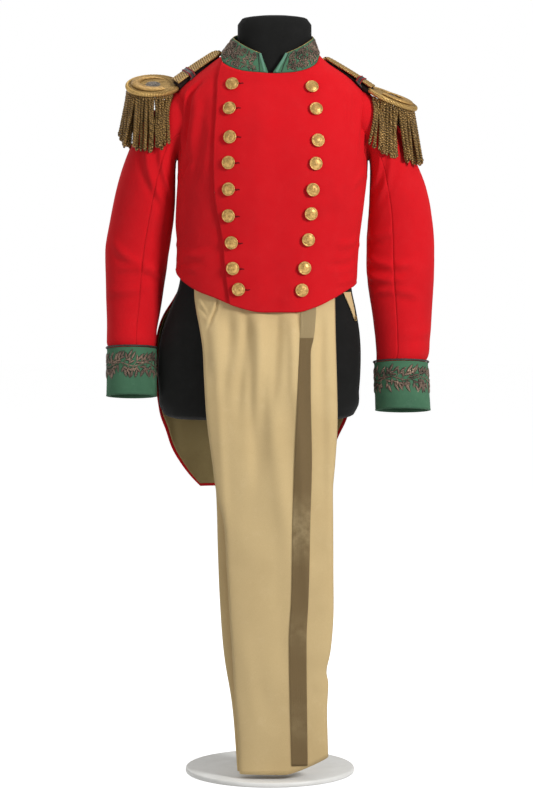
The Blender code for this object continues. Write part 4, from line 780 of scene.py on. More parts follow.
def buildForm():
    heights = list(np.arange(formSettings["bottom"], formSettings["top"], formSettings["step"]))
    heights = np.array(sorted(heights + [0.713, 0.7145, 0.7165, 0.719, 1.5065, 1.5085, 1.5105, 1.512,
                                         formSettings["top"]]))
    degrees, level = np.meshgrid(360 * np.arange(formSettings["columns"]) / formSettings["columns"], heights)
    points = sectionPoint(form, degrees, level)
    rows, columns = points.shape[:2]
    index = np.arange(rows * columns).reshape(rows, columns)
    after = np.roll(index, -1, axis=1)
    faces = np.stack([index[:-1], after[:-1], after[1:], index[1:]], -1).reshape(-1, 4).tolist()
    flat = points.reshape(-1, 3)
    ends = np.array([points[0].mean(axis=0), points[-1].mean(axis=0)])
    faces += [[after[0, i], index[0, i], rows * columns] for i in range(columns)]
    faces += [[index[-1, i], after[-1, i], rows * columns + 1] for i in range(columns)]
    flat = np.concatenate([flat, ends])
    uvs = np.concatenate([np.stack([degrees * 0.003, level], -1).reshape(-1, 2), ends[:, 1:]])
    placePiece("dressForm", meshFrom("dressForm", flat, faces, uvs), formJersey, ["dress_form"])

    gap = 0.0003
    top = formSettings["bottom"] - gap
    low = formSettings["baseHeight"] + gap
    flange, pole, foot = formSettings["flangeRadius"], formSettings["poleRadius"], formSettings["footRadius"]
    pile = newPile()
    addTurned(pile, [
        (0, top), (flange - 0.001, top), (flange, top - 0.001), (flange, top - 0.005),
        (flange - 0.001, top - 0.006),
        (pole + 0.006, top - 0.009), (pole + 0.001, top - 0.014), (pole, top - 0.018), (pole, low + 0.022),
        (pole + 0.002, low + 0.016), (foot - 0.002, low + 0.012), (foot, low + 0.010), (foot, low), (0, low),
    ], Matrix.Identity(4), 48)
    pilePiece("standPole", pile, standPaint, ["stand_pole"])
    base, thick = formSettings["baseRadius"], formSettings["baseHeight"]
    pile = newPile()
    addTurned(pile, [
        (0, thick), (base - 0.004, thick), (base - 0.002, thick - 0.0008), (base - 0.0006, thick - 0.0022),
        (base, thick - 0.004), (base, 0.001), (base - 0.001, 0), (0, 0),
    ], Matrix.Identity(4), 128)
    pilePiece("standBase", pile, standPaint, ["stand_base"])


buildForm()
print("form and stand built")


# Coat body

coatSettings = {
    "foldGain": 1.6,
    "foldLimit": 0.0055,
    "wall": 0.0025,
    "armholeHeight": 1.297, "armholeHalfHeight": 0.070, "armholeHalfDepth": 0.062,
    "edgeRidge": 0.00045,  # how proud the turned edge stands
    "edgeWidth": 0.0030,
    "girthPerDegree": 0.0028,
    # from degrees, height to degrees, height, then bow, width and depth in metres
    "frontFolds": [
        (-0.138, 1.374, -0.182, 1.262, -0.008, 0.0075, -0.0048),
        (-0.152, 1.372, -0.196, 1.250, -0.006, 0.0080, 0.0046),
        (-0.172, 1.350, -0.208, 1.235, -0.006, 0.0065, -0.0036),
        (-0.125, 1.350, -0.160, 1.240, -0.006, 0.0110, 0.0026),
        (-0.158, 1.225, -0.200, 1.185, -0.006, 0.0080, -0.0030),
        (-0.120, 1.300, -0.148, 1.180, 0.004, 0.0120, -0.0020),
        (-0.210, 1.010, -0.110, 1.022, 0.006, 0.0065, -0.0016),
        (-0.190, 1.040, -0.085, 1.048, -0.006, 0.0080, 0.0014),
        (-0.205, 0.995, -0.130, 1.000, 0.004, 0.0050, -0.0012),
        (0.190, 1.350, 0.165, 1.240, -0.010, 0.0090, 0.0024),
        (0.210, 1.320, 0.188, 1.225, -0.008, 0.0075, 0.0020),
        (0.150, 1.365, 0.135, 1.290, -0.006, 0.0090, 0.0012),
        (0.215, 1.200, 0.150, 1.170, -0.006, 0.0090, 0.0015),
        (0.200, 1.070, 0.120, 1.062, 0.006, 0.0085, 0.0014),
        (0.210, 1.035, 0.100, 1.020, 0.008, 0.0075, -0.0014),
        (0.205, 0.998, 0.130, 0.985, 0.004, 0.0070, 0.0011),
        (0.040, 0.985, 0.020, 0.940, 0.004, 0.0090, 0.0010),
    ],
    "backFolds": [
        (0.300, 1.330, 0.385, 1.230, 0.014, 0.0095, 0.0024),
        (0.330, 1.350, 0.430, 1.285, 0.010, 0.0100, 0.0016),
        (0.260, 1.200, 0.330, 1.120, 0.010, 0.0080, 0.0020),
        (0.290, 1.100, 0.400, 1.075, -0.006, 0.0080, 0.0013),
        (0.240, 1.060, 0.360, 1.035, 0.006, 0.0070, 0.0015),
        (0.440, 1.120, 0.490, 1.050, 0.006, 0.0080, 0.0011),
        (0.250, 1.020, 0.330, 1.012, 0.004, 0.0060, -0.0012),
    ],
}


def coatHeight(degrees, v):
    hem = hemLevel(degrees)
    return hem + (neckLevel(np.abs(degrees)) - hem) * v


def panelAngles(lowEdge, highEdge, u, v, top=None):
    degrees = (lowEdge(1.2 + 0 * u) + highEdge(1.2 + 0 * u)) / 2
    for _ in range(6):
        height = coatHeight(degrees, v) if top is None else hemLevel(degrees) + (top - hemLevel(degrees)) * v
        low, high = lowEdge(height), highEdge(height)
        degrees = low + (high - low) * u
    return degrees, height


def seamEdge(seam, sign, side, slant=1.0):
    def edge(height):
        degrees = seam(height) + 0 * height
        step = sectionPoint(coat, degrees + 1, height) - sectionPoint(coat, degrees - 1, height)
        speed = np.linalg.norm(step, axis=-1) / 2
        return sign * (degrees + side * slant * bodyShape["seamOpen"] / 2 / speed)
    return edge


def overlapLift(x):
    return (coatSettings["wall"] + bodyShape["lapGap"]) * (1 - blend(-0.028, 0.022, x))


def coatForm(degrees, height):
    # folds and slow unevenness, kept within the fold limit and quiet at hem and neck
    girth = degrees * coatSettings["girthPerDegree"]
    lift = foldField(coatSettings["frontFolds"], girth, height)
    for sign in (1, -1):
        lift = lift + foldField(coatSettings["backFolds"], girth * sign, height)
    lift = lift + softWaves(girth, height, 11, 0.14, 0.0010) + softWaves(girth, height, 12, 0.05, 0.00035)
    quiet = blend(0.0, 0.014, height - hemLevel(degrees)) * blend(0.0, 0.012,
                                                                  neckLevel(np.abs(degrees)) - height)
    return np.clip(lift * coatSettings["foldGain"], -coatSettings["foldLimit"],
                   coatSettings["foldLimit"]) * (0.35 + 0.65 * quiet)


def edgeRidge(distance):
    # a turned edge stands a little proud and has a stitched line beside it
    width = coatSettings["edgeWidth"]
    ridge = 1 - blend(0.0, width, distance)
    stitched = np.exp(-(((distance - width * 1.25) / (width * 0.25)) ** 2))
    return coatSettings["edgeRidge"] * (ridge - 0.8 * stitched)


def outsideArmhole(points):
    across = points[:, 1] / (coatSettings["armholeHalfDepth"] - 0.0015)
    upward = (points[:, 2] - coatSettings["armholeHeight"]) / (coatSettings["armholeHalfHeight"] - 0.0015)
    return (across ** 2 + upward ** 2 > 1) | (np.abs(points[:, 0]) < 0.12)


def buildCoatBody():
    def overlap(u, v):
        degrees, height = panelAngles(
            lambda z: angleOfX(coat, closingEdge(z), z), seamEdge(frontSideSeam, 1, -1), u, v)
        x = sectionPoint(coat, degrees, height)[..., 0]
        lift = overlapLift(x) + coatForm(degrees, height)
        fromEdge = np.minimum(x - closingEdge(height), height - hemLevel(degrees))
        return coatPoint(degrees, height, lift + edgeRidge(fromEdge))

    def underlap(u, v):
        degrees, height = panelAngles(
            seamEdge(frontSideSeam, -1, -1), lambda z: angleOfX(coat, closingEdge(z) + 0.045, z), u, v)
        x = sectionPoint(coat, degrees, height)[..., 0]
        covered = blend(-0.010, 0.010, x - closingEdge(height))
        lift = coatForm(degrees, height) * (1 - covered) - 0.0006 * covered
        return coatPoint(degrees, height, lift + edgeRidge(height - hemLevel(degrees)) * (1 - covered))

    wall = coatSettings["wall"]
    clothShell("coatFrontLeft", gridPoints(overlap, 100, 125), wall, scarletWool,
               keep=outsideArmhole)
    clothShell("coatFrontRight", gridPoints(underlap, 46, 106), wall, scarletWool,
               keep=outsideArmhole)
    for side, sign in (("Left", 1), ("Right", -1)):

        def sideBody(u, v, sign=sign):
            near = u if sign > 0 else 1 - u
            degrees, height = panelAngles(
                seamEdge(frontSideSeam, sign, 1), seamEdge(sideBackSeam, sign, -1, 1.5), near, v, 1.31)
            return coatPoint(degrees, height,
                             coatForm(degrees, height) + edgeRidge(height - hemLevel(degrees)))

        def back(u, v, sign=sign):
            near = u if sign > 0 else 1 - u
            degrees, height = panelAngles(
                seamEdge(sideBackSeam, sign, 1, 1.5), seamEdge(lambda z: 180.0, sign, -1), near, v)
            return coatPoint(degrees, height,
                             coatForm(degrees, height) + edgeRidge(height - hemLevel(degrees)))

        clothShell("coatSide" + side, gridPoints(sideBody, 46, 86), wall, scarletWool,
                   keep=outsideArmhole)
        clothShell("coatBack" + side, gridPoints(back, 38, 92), wall, scarletWool,
                   keep=outsideArmhole)


buildCoatBody()
print("coat body built")


# Sleeves

sleeveSettings = {
    "wall": 0.0022, "foldDepth": 1.7, "armInset": 0.0008, "armStand": 0.0005, "tuck": 0.005,
    "seam": 104.0, "open": 0.03,  # degrees: where the seams lie, and the gap left at each
    "girthRadius": 0.062,
    # from degrees (0 outer side, 90 front) and metres down the sleeve, to the same, then bow, width, depth
    "rightFolds": [
        (60, 0.080, 130, 0.150, 0.010, 0.010, 0.0030), (90, 0.060, 150, 0.110, 0.008, 0.009, 0.0026),
        (40, 0.270, 150, 0.300, 0.012, 0.009, 0.0022), (60, 0.315, 160, 0.322, -0.008, 0.008, 0.0022),
        (-40, 0.330, -120, 0.290, 0.010, 0.009, 0.0022), (20, 0.360, 120, 0.345, 0.008, 0.009, 0.0018),
        (-60, 0.120, -130, 0.180, 0.010, 0.010, 0.0026), (30, 0.440, 110, 0.425, 0.006, 0.010, 0.0012),
        (-30, 0.420, -110, 0.400, 0.006, 0.010, 0.0014),
    ],
    "leftFolds": [
        (70, 0.070, 140, 0.140, 0.010, 0.010, 0.0028), (100, 0.055, 160, 0.100, 0.008, 0.009, 0.0024),
        (70, 0.300, 165, 0.255, 0.012, 0.009, 0.0030), (85, 0.330, 170, 0.300, 0.008, 0.008, 0.0030),
        (60, 0.365, 150, 0.352, -0.008, 0.009, 0.0024), (95, 0.220, 160, 0.200, 0.010, 0.010, 0.0020),
        (-50, 0.320, -130, 0.285, 0.010, 0.010, 0.0024), (-60, 0.110, -140, 0.170, 0.010, 0.010, 0.0024),
        (20, 0.430, 100, 0.445, 0.006, 0.010, 0.0014), (-20, 0.410, -110, 0.430, 0.006, 0.011, 0.0014),
    ],
}
sleeveRings = {
    -1: table(
        "outerX outerZ innerX innerZ halfDepth centreY lean",
        (-0.2080, 1.346, -0.1880, 1.212, 0.0640, 0.001, 0),
        (-0.2400, 1.317, -0.1885, 1.188, 0.0640, 0.002, 0),
        (-0.2680, 1.275, -0.1890, 1.160, 0.0620, 0.004, 0),
        (-0.2915, 1.222, -0.1910, 1.125, 0.0600, 0.007, 0),
        (-0.3080, 1.165, -0.1950, 1.090, 0.0580, 0.010, 0),
        (-0.3205, 1.105, -0.2005, 1.055, 0.0560, 0.014, 0),
        (-0.3295, 1.045, -0.2065, 1.015, 0.0550, 0.016, 1),
        (-0.3290, 0.990, -0.2125, 0.975, 0.0530, 0.012, 4),
        (-0.3270, 0.935, -0.2190, 0.930, 0.0510, 0.004, 7),
        (-0.3260, 0.890, -0.2260, 0.890, 0.0500, -0.004, 8),
        (-0.3260, 0.864, -0.2275, 0.864, 0.0495, -0.010, 8),
        (-0.3220, 0.852, -0.2295, 0.852, 0.0460, -0.012, 8),
        (-0.3217, 0.836, -0.2297, 0.836, 0.0460, -0.014, 8),
    ),
    1: table(
        "outerX outerZ innerX innerZ halfDepth centreY lean",
        (0.2180, 1.341, 0.1995, 1.208, 0.0640, 0.001, 0), (0.2460, 1.310, 0.1995, 1.188, 0.0640, 0.002, 0),
        (0.2715, 1.268, 0.1985, 1.163, 0.0620, 0.004, 0), (0.2925, 1.222, 0.1975, 1.133, 0.0600, 0.007, 0),
        (0.3120, 1.172, 0.1955, 1.098, 0.0580, 0.010, 0), (0.3235, 1.115, 0.1935, 1.062, 0.0570, 0.014, 0),
        (0.3285, 1.050, 0.1930, 1.022, 0.0565, 0.016, 1), (0.3280, 0.990, 0.1960, 0.978, 0.0560, 0.012, 4),
        (0.3240, 0.925, 0.2040, 0.925, 0.0550, 0.004, 7), (0.3195, 0.870, 0.2105, 0.870, 0.0545, -0.004, 8),
        (0.3160, 0.837, 0.2125, 0.837, 0.0540, -0.010, 8), (0.3106, 0.824, 0.2120, 0.824, 0.0505, -0.012, 8),
        (0.3115, 0.808, 0.2119, 0.808, 0.0505, -0.014, 8),
    ),
}


def sleeveSurface(sign, degrees):
    # degrees is a row of angles; gives a function of the distance down the sleeve, and the whole length
    rings = sleeveRings[sign]
    angle = np.radians(degrees)
    halfDepth = coatSettings["armholeHalfDepth"] - sleeveSettings["armInset"]
    halfHeight = coatSettings["armholeHalfHeight"] - sleeveSettings["armInset"]
    y = -halfDepth * np.sin(angle)
    z = coatSettings["armholeHeight"] + halfHeight * np.cos(angle)
    x = sideOf(coat, y, z, sign) + sign * sleeveSettings["armStand"]
    side = float(sideOf(coat, 0.0, coatSettings["armholeHeight"], sign))
    tuck = np.array([sign * sleeveSettings["tuck"], 0.0, 0.0])
    middle = np.array([side, 0.0, coatSettings["armholeHeight"]])
    rows = [np.stack([x, y, z], -1) - tuck, np.stack([x, y, z], -1)]
    middles = [middle - tuck, middle]
    for i in range(len(rings["lean"])):
        ring = {key: values[i] for key, values in rings.items()}
        middle = np.array([(ring["outerX"] + ring["innerX"]) / 2, ring["centreY"],
                           (ring["outerZ"] + ring["innerZ"]) / 2])
        across = np.array([(ring["outerX"] - ring["innerX"]) / 2, 0.0,
                           (ring["outerZ"] - ring["innerZ"]) / 2])
        lean = math.radians(ring["lean"])
        forward = np.array([0.0, -math.cos(lean), math.sin(lean)]) * ring["halfDepth"]
        rows.append(middle + np.cos(angle)[..., None] * across + np.sin(angle)[..., None] * forward)
        middles.append(middle)
    places = np.concatenate([[0], np.cumsum(np.linalg.norm(np.diff(middles, axis=0), axis=1))])
    return smoothCurve(places, np.array(rows)), places[-1]


def buildSleeves():
    for side, sign in (("Left", 1), ("Right", -1)):
        folds = sleeveSettings["leftFolds" if sign > 0 else "rightFolds"]
        radius = sleeveSettings["girthRadius"]
        folds = [(math.radians(a) * radius, s, math.radians(b) * radius, t, bow, wide,
                  deep * sleeveSettings["foldDepth"])
                 for a, s, b, t, bow, wide, deep in folds]
        seam, gap = sleeveSettings["seam"], sleeveSettings["open"]
        for part, start, end, columns in (("Top", -seam, seam, 64), ("Under", seam, 360 - seam, 44)):
            share = np.linspace(0, 1, columns + 1)
            share = share if sign > 0 else 1 - share
            degrees = start + gap + (end - start - 2 * gap) * share
            surface, length = sleeveSurface(sign, degrees)
            down = np.linspace(0, length, 105)
            points = surface(down)
            normal = unit(np.cross(np.gradient(points, axis=1), np.gradient(points, axis=0)))
            turned = (degrees + 180) % 360 - 180
            girth, depth = np.meshgrid(np.radians(turned) * radius, down)
            lift = foldField(folds, girth, depth)
            lift += softWaves(girth, depth, 21 + sign, 0.11, 0.0011) + softWaves(girth, depth, 25 + sign,
                                                                                 0.04, 0.0003)
            # fine puckers where the sleeve is set in, and quiet inside the cuff
            pucker = 0.0006 * np.sin(girth / 0.0065) * np.exp(-depth / 0.018)
            quiet = blend(0.0, 0.030, depth) * blend(0.0, 0.030, length - 0.045 - depth)
            edge = 1 - np.exp(-((np.abs(np.abs(turned)[None,
                                                       :] + 0 * depth - seam)) * 0.00108 / 0.0035) ** 2)
            lift = np.maximum(lift, -0.0030) * quiet * (0.4 + 0.6 * edge) + pucker * blend(0, 0.004, depth)
            points = points + normal * lift[..., None]
            clothShell("sleeve" + part + side, points, sleeveSettings["wall"], scarletWool)


buildSleeves()
print("sleeves built")


# Cuffs with their cord and leaf embroidery

cuffSettings = {
    "wall": 0.0030, "lean": 8.0, "cordRadius": 0.0020, "cordRise": 0.0027, "cordProud": 0.0008,
    "bandTop": 0.007, "bandHeight": 0.055,  # metres down from the top edge
    "height": 0.093, "girthRadius": 0.052,  # of the flat pattern laid round it
}
cuffRows = {
    -1: curvesOf(table("share height centreX centreY halfWidth halfDepth",
                       (0.0, 0.851, -0.2757, -0.0120, 0.0497, 0.0497),
                       (0.5, 0.805, -0.2757, -0.0185, 0.0500, 0.0500),
                       (1.0, 0.758, -0.2757, -0.0250, 0.0505, 0.0505))),
    1: curvesOf(table("share height centreX centreY halfWidth halfDepth",
                      (0.0, 0.823, 0.2616, -0.0120, 0.0537, 0.0540),
                      (0.5, 0.777, 0.2630, -0.0185, 0.0545, 0.0545),
                      (1.0, 0.730, 0.2650, -0.0250, 0.0553, 0.0550))),
}


def cuffPoint(sign, degrees, share, lift=0.0):
    rows = cuffRows[sign]
    angle, lean = np.radians(degrees), math.radians(cuffSettings["lean"])
    reach = (rows["halfDepth"](share) + lift) * np.sin(angle)
    return np.stack([
        rows["centreX"](share) + (rows["halfWidth"](share) + lift) * np.cos(angle),
        rows["centreY"](share) - reach * math.cos(lean),
        rows["height"](share) + reach * math.sin(lean),
    ], -1)


# The last two sizes set the dark sheet under each leaf that paints its shadow outline.
leafSettings = {"width": 0.0047, "height": 0.0020, "spacing": 0.0108, "stem": 0.0010, "wave": 0.060,
                "edge": 0.0017, "shadowSheetHeight": 0.0005}


def addLeaf(pile, surface, a, b, heading, length, width, bend, height, around=6):
    # a padded leaf on a surface whose own coordinates are metres along and across
    s = np.linspace(0, 1, 7)
    turn = heading + bend * (s - 0.2)
    stepA = np.cumsum(np.cos(turn)) * length / len(s)
    stepB = np.cumsum(np.sin(turn)) * length / len(s)
    pathA, pathB = a + stepA - stepA[0], b + stepB - stepB[0]
    shape = np.sin(np.pi * np.clip(s * 0.96 + 0.02, 0, 1) ** 0.85) ** 0.8
    centres = surface(pathA, pathB, height * 0.35 * shape)
    raised = surface(pathA, pathB, height * 0.35 * shape + 0.002)
    ups = unit(raised - centres)
    along = unit(np.gradient(centres, axis=0))
    sides = unit(np.cross(along, ups))
    addTube(pile, centres, sides, ups, 0.5 * width * shape + 0.0001, 0.65 * height * shape + 0.0001, around)


def addStem(pile, surface, pathA, pathB, radius):
    centres = surface(pathA, pathB, radius * 0.6)
    ups = unit(surface(pathA, pathB, radius * 0.6 + 0.002) - centres)
    sides = unit(np.cross(unit(np.gradient(centres, axis=0)), ups))
    addTube(pile, centres, sides, ups, radius, radius, 6, 2, 0.25, 3500.0)


def addPaddedLeaf(piles, surface, a, b, heading, length, width, bend):
    # the leaf itself, and under it a slightly larger dark flat leaf whose rim shows round it as a painted
    # shadow outline
    edge = leafSettings["edge"]
    back = edge * 0.5
    addLeaf(piles[0], surface, a, b, heading, length, width, bend, leafSettings["height"])
    addLeaf(piles[1], surface, a - back * math.cos(heading), b - back * math.sin(heading), heading,
            length + edge,
            width + edge, bend, leafSettings["shadowSheetHeight"], 4)


def addSprig(piles, surface, a, b, heading, reach, width, pick):
    # a short twig with a leaf at its end and one on each side
    twig = reach * 0.45
    stepA, stepB = math.cos(heading), math.sin(heading)
    along = np.linspace(0, twig, 3)
    addStem(piles[0], surface, a + along * stepA, b + along * stepB, leafSettings["stem"] * 0.8)
    addPaddedLeaf(piles, surface, a + twig * stepA, b + twig * stepB, heading, reach * 0.70, width,
                  pick.uniform(-0.3, 0.3))
    for way in (1, -1):
        at = twig * pick.uniform(0.25, 0.85)
        addPaddedLeaf(piles, surface, a + at * stepA, b + at * stepB,
                      heading + way * pick.uniform(0.45, 0.75),
                      reach * 0.50, width * 0.85, way * 0.35)


def addLeafBand(piles, surface, start, end, middle, rise, up, lean, seed, scale=1.0):
    # one wandering branch: sprigs above it lean one way, those below it hang to both sides
    pick = random.Random(seed)
    a = np.linspace(start, end, max(int((end - start) / 0.002), 8))
    wave = 2 * math.pi / (leafSettings["wave"] * scale)
    wander = rise * 0.07
    addStem(piles[0], surface, a, middle + wander * np.sin(a * wave), leafSettings["stem"] * 1.3 * scale)
    at = start + 0.001
    while at < end:
        stemB = middle + wander * math.sin(at * wave)
        for way, steep in ((up, pick.uniform(0.80, 1.10)), (-up, pick.uniform(0.85, 1.45))):
            side = lean if way == up else pick.choice((1, -1))
            heading = math.atan2(way * math.sin(steep), side * math.cos(steep))
            room = rise / 2 - way * (stemB - middle)
            reach = min(room / math.sin(steep), room * 1.25) * pick.uniform(0.86, 1.0)
            addSprig(piles, surface, at + pick.uniform(-0.0015, 0.0015), stemB, heading, reach,
                     leafSettings["width"] * scale * pick.uniform(0.9, 1.15), pick)
        at += leafSettings["spacing"] * scale * pick.uniform(0.9, 1.1)


def addCurl(piles, surface, a, b, size, turn, way):
    # a scroll that winds into a berry, with one leaf on its back
    t = np.linspace(0, 1, 18)
    angle = turn + way * t * 4.6
    reach = size * (1 - 0.80 * t)
    pathA = a + reach * np.cos(angle)
    pathB = b + reach * np.sin(angle) * 0.9
    addStem(piles[0], surface, pathA, pathB, leafSettings["stem"] * 1.15)
    addLeaf(piles[0], surface, pathA[-1] - 0.0012, pathB[-1], 0.0, 0.0034, 0.0032, 0.0,
            leafSettings["height"])
    addPaddedLeaf(piles, surface, pathA[3], pathB[3], turn + way * 1.1, size * 1.25,
                  leafSettings["width"] * 0.72,
                  -way * 0.6)


def buildCuffs():
    for side, sign in (("Left", 1), ("Right", -1)):

        def pointAt(u, v, sign=sign):
            degrees = 360 * u
            lift = softWaves(np.cos(np.radians(degrees)) * 0.05,
                             v * 0.1 + np.sin(np.radians(degrees)) * 0.05,
                             31 + sign, 0.06, 0.0006)
            fromEdge = np.minimum(v, 1 - v) * cuffSettings["height"]
            return cuffPoint(sign, degrees, v, lift + edgeRidge(fromEdge) * 0.8)

        clothShell("cuff" + side, gridPoints(pointAt, 90, 22), cuffSettings["wall"], greenFacing,
                   closed=True)

        pile = newPile()
        turns = np.arange(220) / 220
        centres = cuffPoint(sign, 360 * turns, 0 * turns, cuffSettings["cordProud"])
        centres[:, 2] += cuffSettings["cordRise"]
        addCord(pile, centres, np.array([0.0, 0.0, 1.0]), cuffSettings["cordRadius"],
                cuffSettings["cordRadius"], 10, 2, 0.30, 1200.0, closed=True)
        pilePiece("cuffCord" + side, pile, darkCord, ["cuff_cord_" + side.lower()])

        def onCuff(a, b, lift, sign=sign):
            degrees = np.degrees(a / cuffSettings["girthRadius"])
            return cuffPoint(sign, degrees, np.asarray(b) / cuffSettings["height"], lift)

        piles = (newPile(), newPile())
        middle = cuffSettings["bandTop"] + cuffSettings["bandHeight"] / 2
        girth = 2 * math.pi * cuffSettings["girthRadius"]
        addLeafBand(piles, onCuff, 0.0, girth, middle, cuffSettings["bandHeight"], -1, -1, 40 + sign)
        pilePiece("cuffLeaves" + side, piles[0], embroideryThread)
        # painted shadow: the dark sheets round the leaves
        pilePiece("cuffLeafEdges" + side, piles[1], darkLineAndLeafShadowThread)


buildCuffs()
print("cuffs built")


# Standing collar

collarSettings = {
    "wall": 0.0030, "lift": 0.0012, "border": 0.0035,
    "length": 0.470, "height": 0.042,  # for the patterns laid on it
    # the front opening's share of the half width, at the bottom and the top
    "lowOpen": 0.030, "highOpen": 0.303,
}
collarTop = curvesOf(table(
    "angle height", (0, 1.432), (14, 1.434), (30, 1.4425), (60, 1.459), (90, 1.470), (130, 1.480),
    (180, 1.485),
))["height"]
collarTopShape = {"halfWidth": 0.0803, "front": -0.069, "back": 0.072, "centre": 0.0065}


def collarBase(u, v):
    lowWidth = float(sectionPoint(coat, 90.0, neckLevel(0.0))[..., 0])
    highWidth = collarTopShape["halfWidth"]
    lowX, highX = lowWidth * collarSettings["lowOpen"], highWidth * collarSettings["highOpen"]
    opening = (lowX + (highX - lowX) * v) / (lowWidth + (highWidth - lowWidth) * v)
    gap = np.degrees(np.arcsin(opening ** (bodyShape["squareness"] / 2)))
    degrees = gap + (360 - 2 * gap) * u
    wrapped = np.where(degrees <= 180, degrees, degrees - 360)
    height = neckLevel(np.abs(wrapped))
    front = overlapLift(sectionPoint(coat, wrapped, height)[..., 0])
    low = coatPoint(wrapped, height, np.where(np.abs(wrapped) < 90, front, 0.0))
    low[..., 2] += collarSettings["lift"]
    shape = collarTopShape
    angle = np.radians(degrees)
    power = 2 / bodyShape["squareness"]
    halfDepth, middle = (shape["back"] - shape["front"]) / 2, (shape["back"] + shape["front"]) / 2
    high = np.stack([
        shape["centre"] + shape["halfWidth"] * signedPower(np.sin(angle), power),
        middle - halfDepth * signedPower(np.cos(angle), power), collarTop(np.abs(wrapped)),
    ], -1)
    return low + (high - low) * v[..., None]


def collarPoint(u, v, lift=0.0):
    u, v = np.broadcast_arrays(np.asarray(u, float), np.asarray(v, float))
    along = collarBase(np.clip(u + 0.002, 0, 1), v) - collarBase(np.clip(u - 0.002, 0, 1), v)
    upward = collarBase(u, np.clip(v + 0.02, 0, 1)) - collarBase(u, np.clip(v - 0.02, 0, 1))
    normal = unit(np.cross(along, upward))
    return collarBase(u, v) + normal * (np.asarray(lift, float) + 0 * u)[..., None]


def buildCollar():
    length, height = collarSettings["length"], collarSettings["height"]

    def pointAt(u, v):
        lift = softWaves(u * length, v * height, 51, 0.07, 0.0006)
        fromEdge = np.minimum(np.minimum(u, 1 - u) * length, np.minimum(v + 0.3, 1 - v) * height)
        return collarPoint(u, v, lift * blend(0, 0.3, v) + edgeRidge(fromEdge) * 0.8)

    clothShell("standingCollar", gridPoints(pointAt, 160, 14), collarSettings["wall"], greenFacing)

    # thin gilt line on the top edge
    pile = newPile()
    u = np.linspace(0.004, 0.996, 240)
    v = np.full(240, 1.0)
    centres = collarPoint(u, v, -0.0012)
    centres[:, 2] += 0.0006
    addCord(pile, centres, collarPoint(u, v, 0.01) - centres, 0.0011, 0.0011, 8, 2, 0.3, 1500.0)
    pilePiece("collarEdgeCord", pile, bullionGold)

    # lighter binding down both front edges, with a dark line inside it
    binding, line = newPile(), newPile()
    v = np.linspace(0.02, 0.98, 30)
    for end, way in ((0.0, 1), (1.0, -1)):
        for pile, inset, wide, thick in ((binding, 0.6, 0.0026, 0.0007), (line, 1.7, 0.0008, 0.0007)):
            u = end + way * inset * collarSettings["border"] / length + 0 * v
            centres = collarPoint(u, v, 0.0003)
            addCord(pile, centres, collarPoint(u, v, 0.01) - centres, wide, thick, 8)
    pilePiece("collarBinding", binding, greenBinding)
    pilePiece("collarBindingLine", line, darkLineAndLeafShadowThread)

    def onCollar(a, b, lift):
        return collarPoint(np.clip(np.asarray(a) / length, 0, 1), np.clip(np.asarray(b) / height, 0, 1),
                           lift)

    piles = (newPile(), newPile())
    pick = random.Random(57)
    for start, end, lean, seed in ((0.009, length / 2 - 0.003, 1, 52),
                                   (length / 2 + 0.003, length - 0.009, -1, 53)):
        for share, turn in ((0.29, 1), (0.71, -1)):
            addLeafBand(piles, onCollar, start, end, height * share, height * 0.50, turn, lean, seed, 0.55)
        at = start + 0.004
        way = 1
        while at < end - 0.004:
            addCurl(piles, onCollar, at, height * (0.50 + 0.24 * way), 0.0056, pick.uniform(0, 6.2), way)
            at += 0.0130
            way = -way
    pilePiece("collarLeaves", piles[0], embroideryThread)
    # painted shadow: the dark sheets round the leaves
    pilePiece("collarLeafShadows", piles[1], darkLineAndLeafShadowThread)


buildCollar()
print("collar built")


# Tails with their linings, and the pointed turnback

tailSettings = {"top": 0.9997, "bottom": 0.567, "wall": 0.0020, "liningWall": 0.0012, "inset": 0.007,
                "vent": 0.25, "gap": 0.0012, "liningShare": 0.965}
tailEdges = {
    -1: curvesOf(table(
        "height angle", (0.567, 148), (0.590, 140), (0.617, 132), (0.650, 123.5), (0.686, 116), (0.733, 105),
        (0.765, 98), (0.813, 95), (0.907, 97), (0.950, 108), (1.000, 121)))["angle"],
    1: curvesOf(table(
        "height angle", (0.567, 152), (0.600, 146), (0.630, 140), (0.666, 133.5), (0.709, 125),
        (0.760, 118), (0.813, 114), (0.900, 112), (0.950, 114), (1.000, 121)))["angle"],
}
tailFolds = [
    (0.290, 0.930, 0.310, 0.680, 0.010, 0.016, 0.0030), (0.345, 0.900, 0.360, 0.620, -0.008, 0.014, 0.0024),
    (0.400, 0.950, 0.405, 0.700, 0.006, 0.013, 0.0026), (0.445, 0.900, 0.440, 0.600, 0.006, 0.012, 0.0018),
    (0.320, 0.985, 0.370, 0.930, 0.006, 0.008, 0.0018),
]


def tailPoint(sign, u, v, depth=0.0, inset=0.0, extra=0.0):
    top, bottom = tailSettings["top"], tailSettings["bottom"]
    height = np.clip(top + (bottom - top) * v, bottom + inset, top - inset * 0.3)
    start = 180 - tailSettings["vent"]
    degrees = start + (tailEdges[sign](height) - start) * u
    girth = degrees * coatSettings["girthPerDegree"]
    lift = foldField(tailFolds, girth, height) + softWaves(girth, height, 61 + sign, 0.15, 0.0012)
    quiet = blend(0.0, 0.030, top - height)
    return sectionPoint(tail, sign * degrees, height, np.maximum(lift, -0.0005) * quiet - depth + extra)


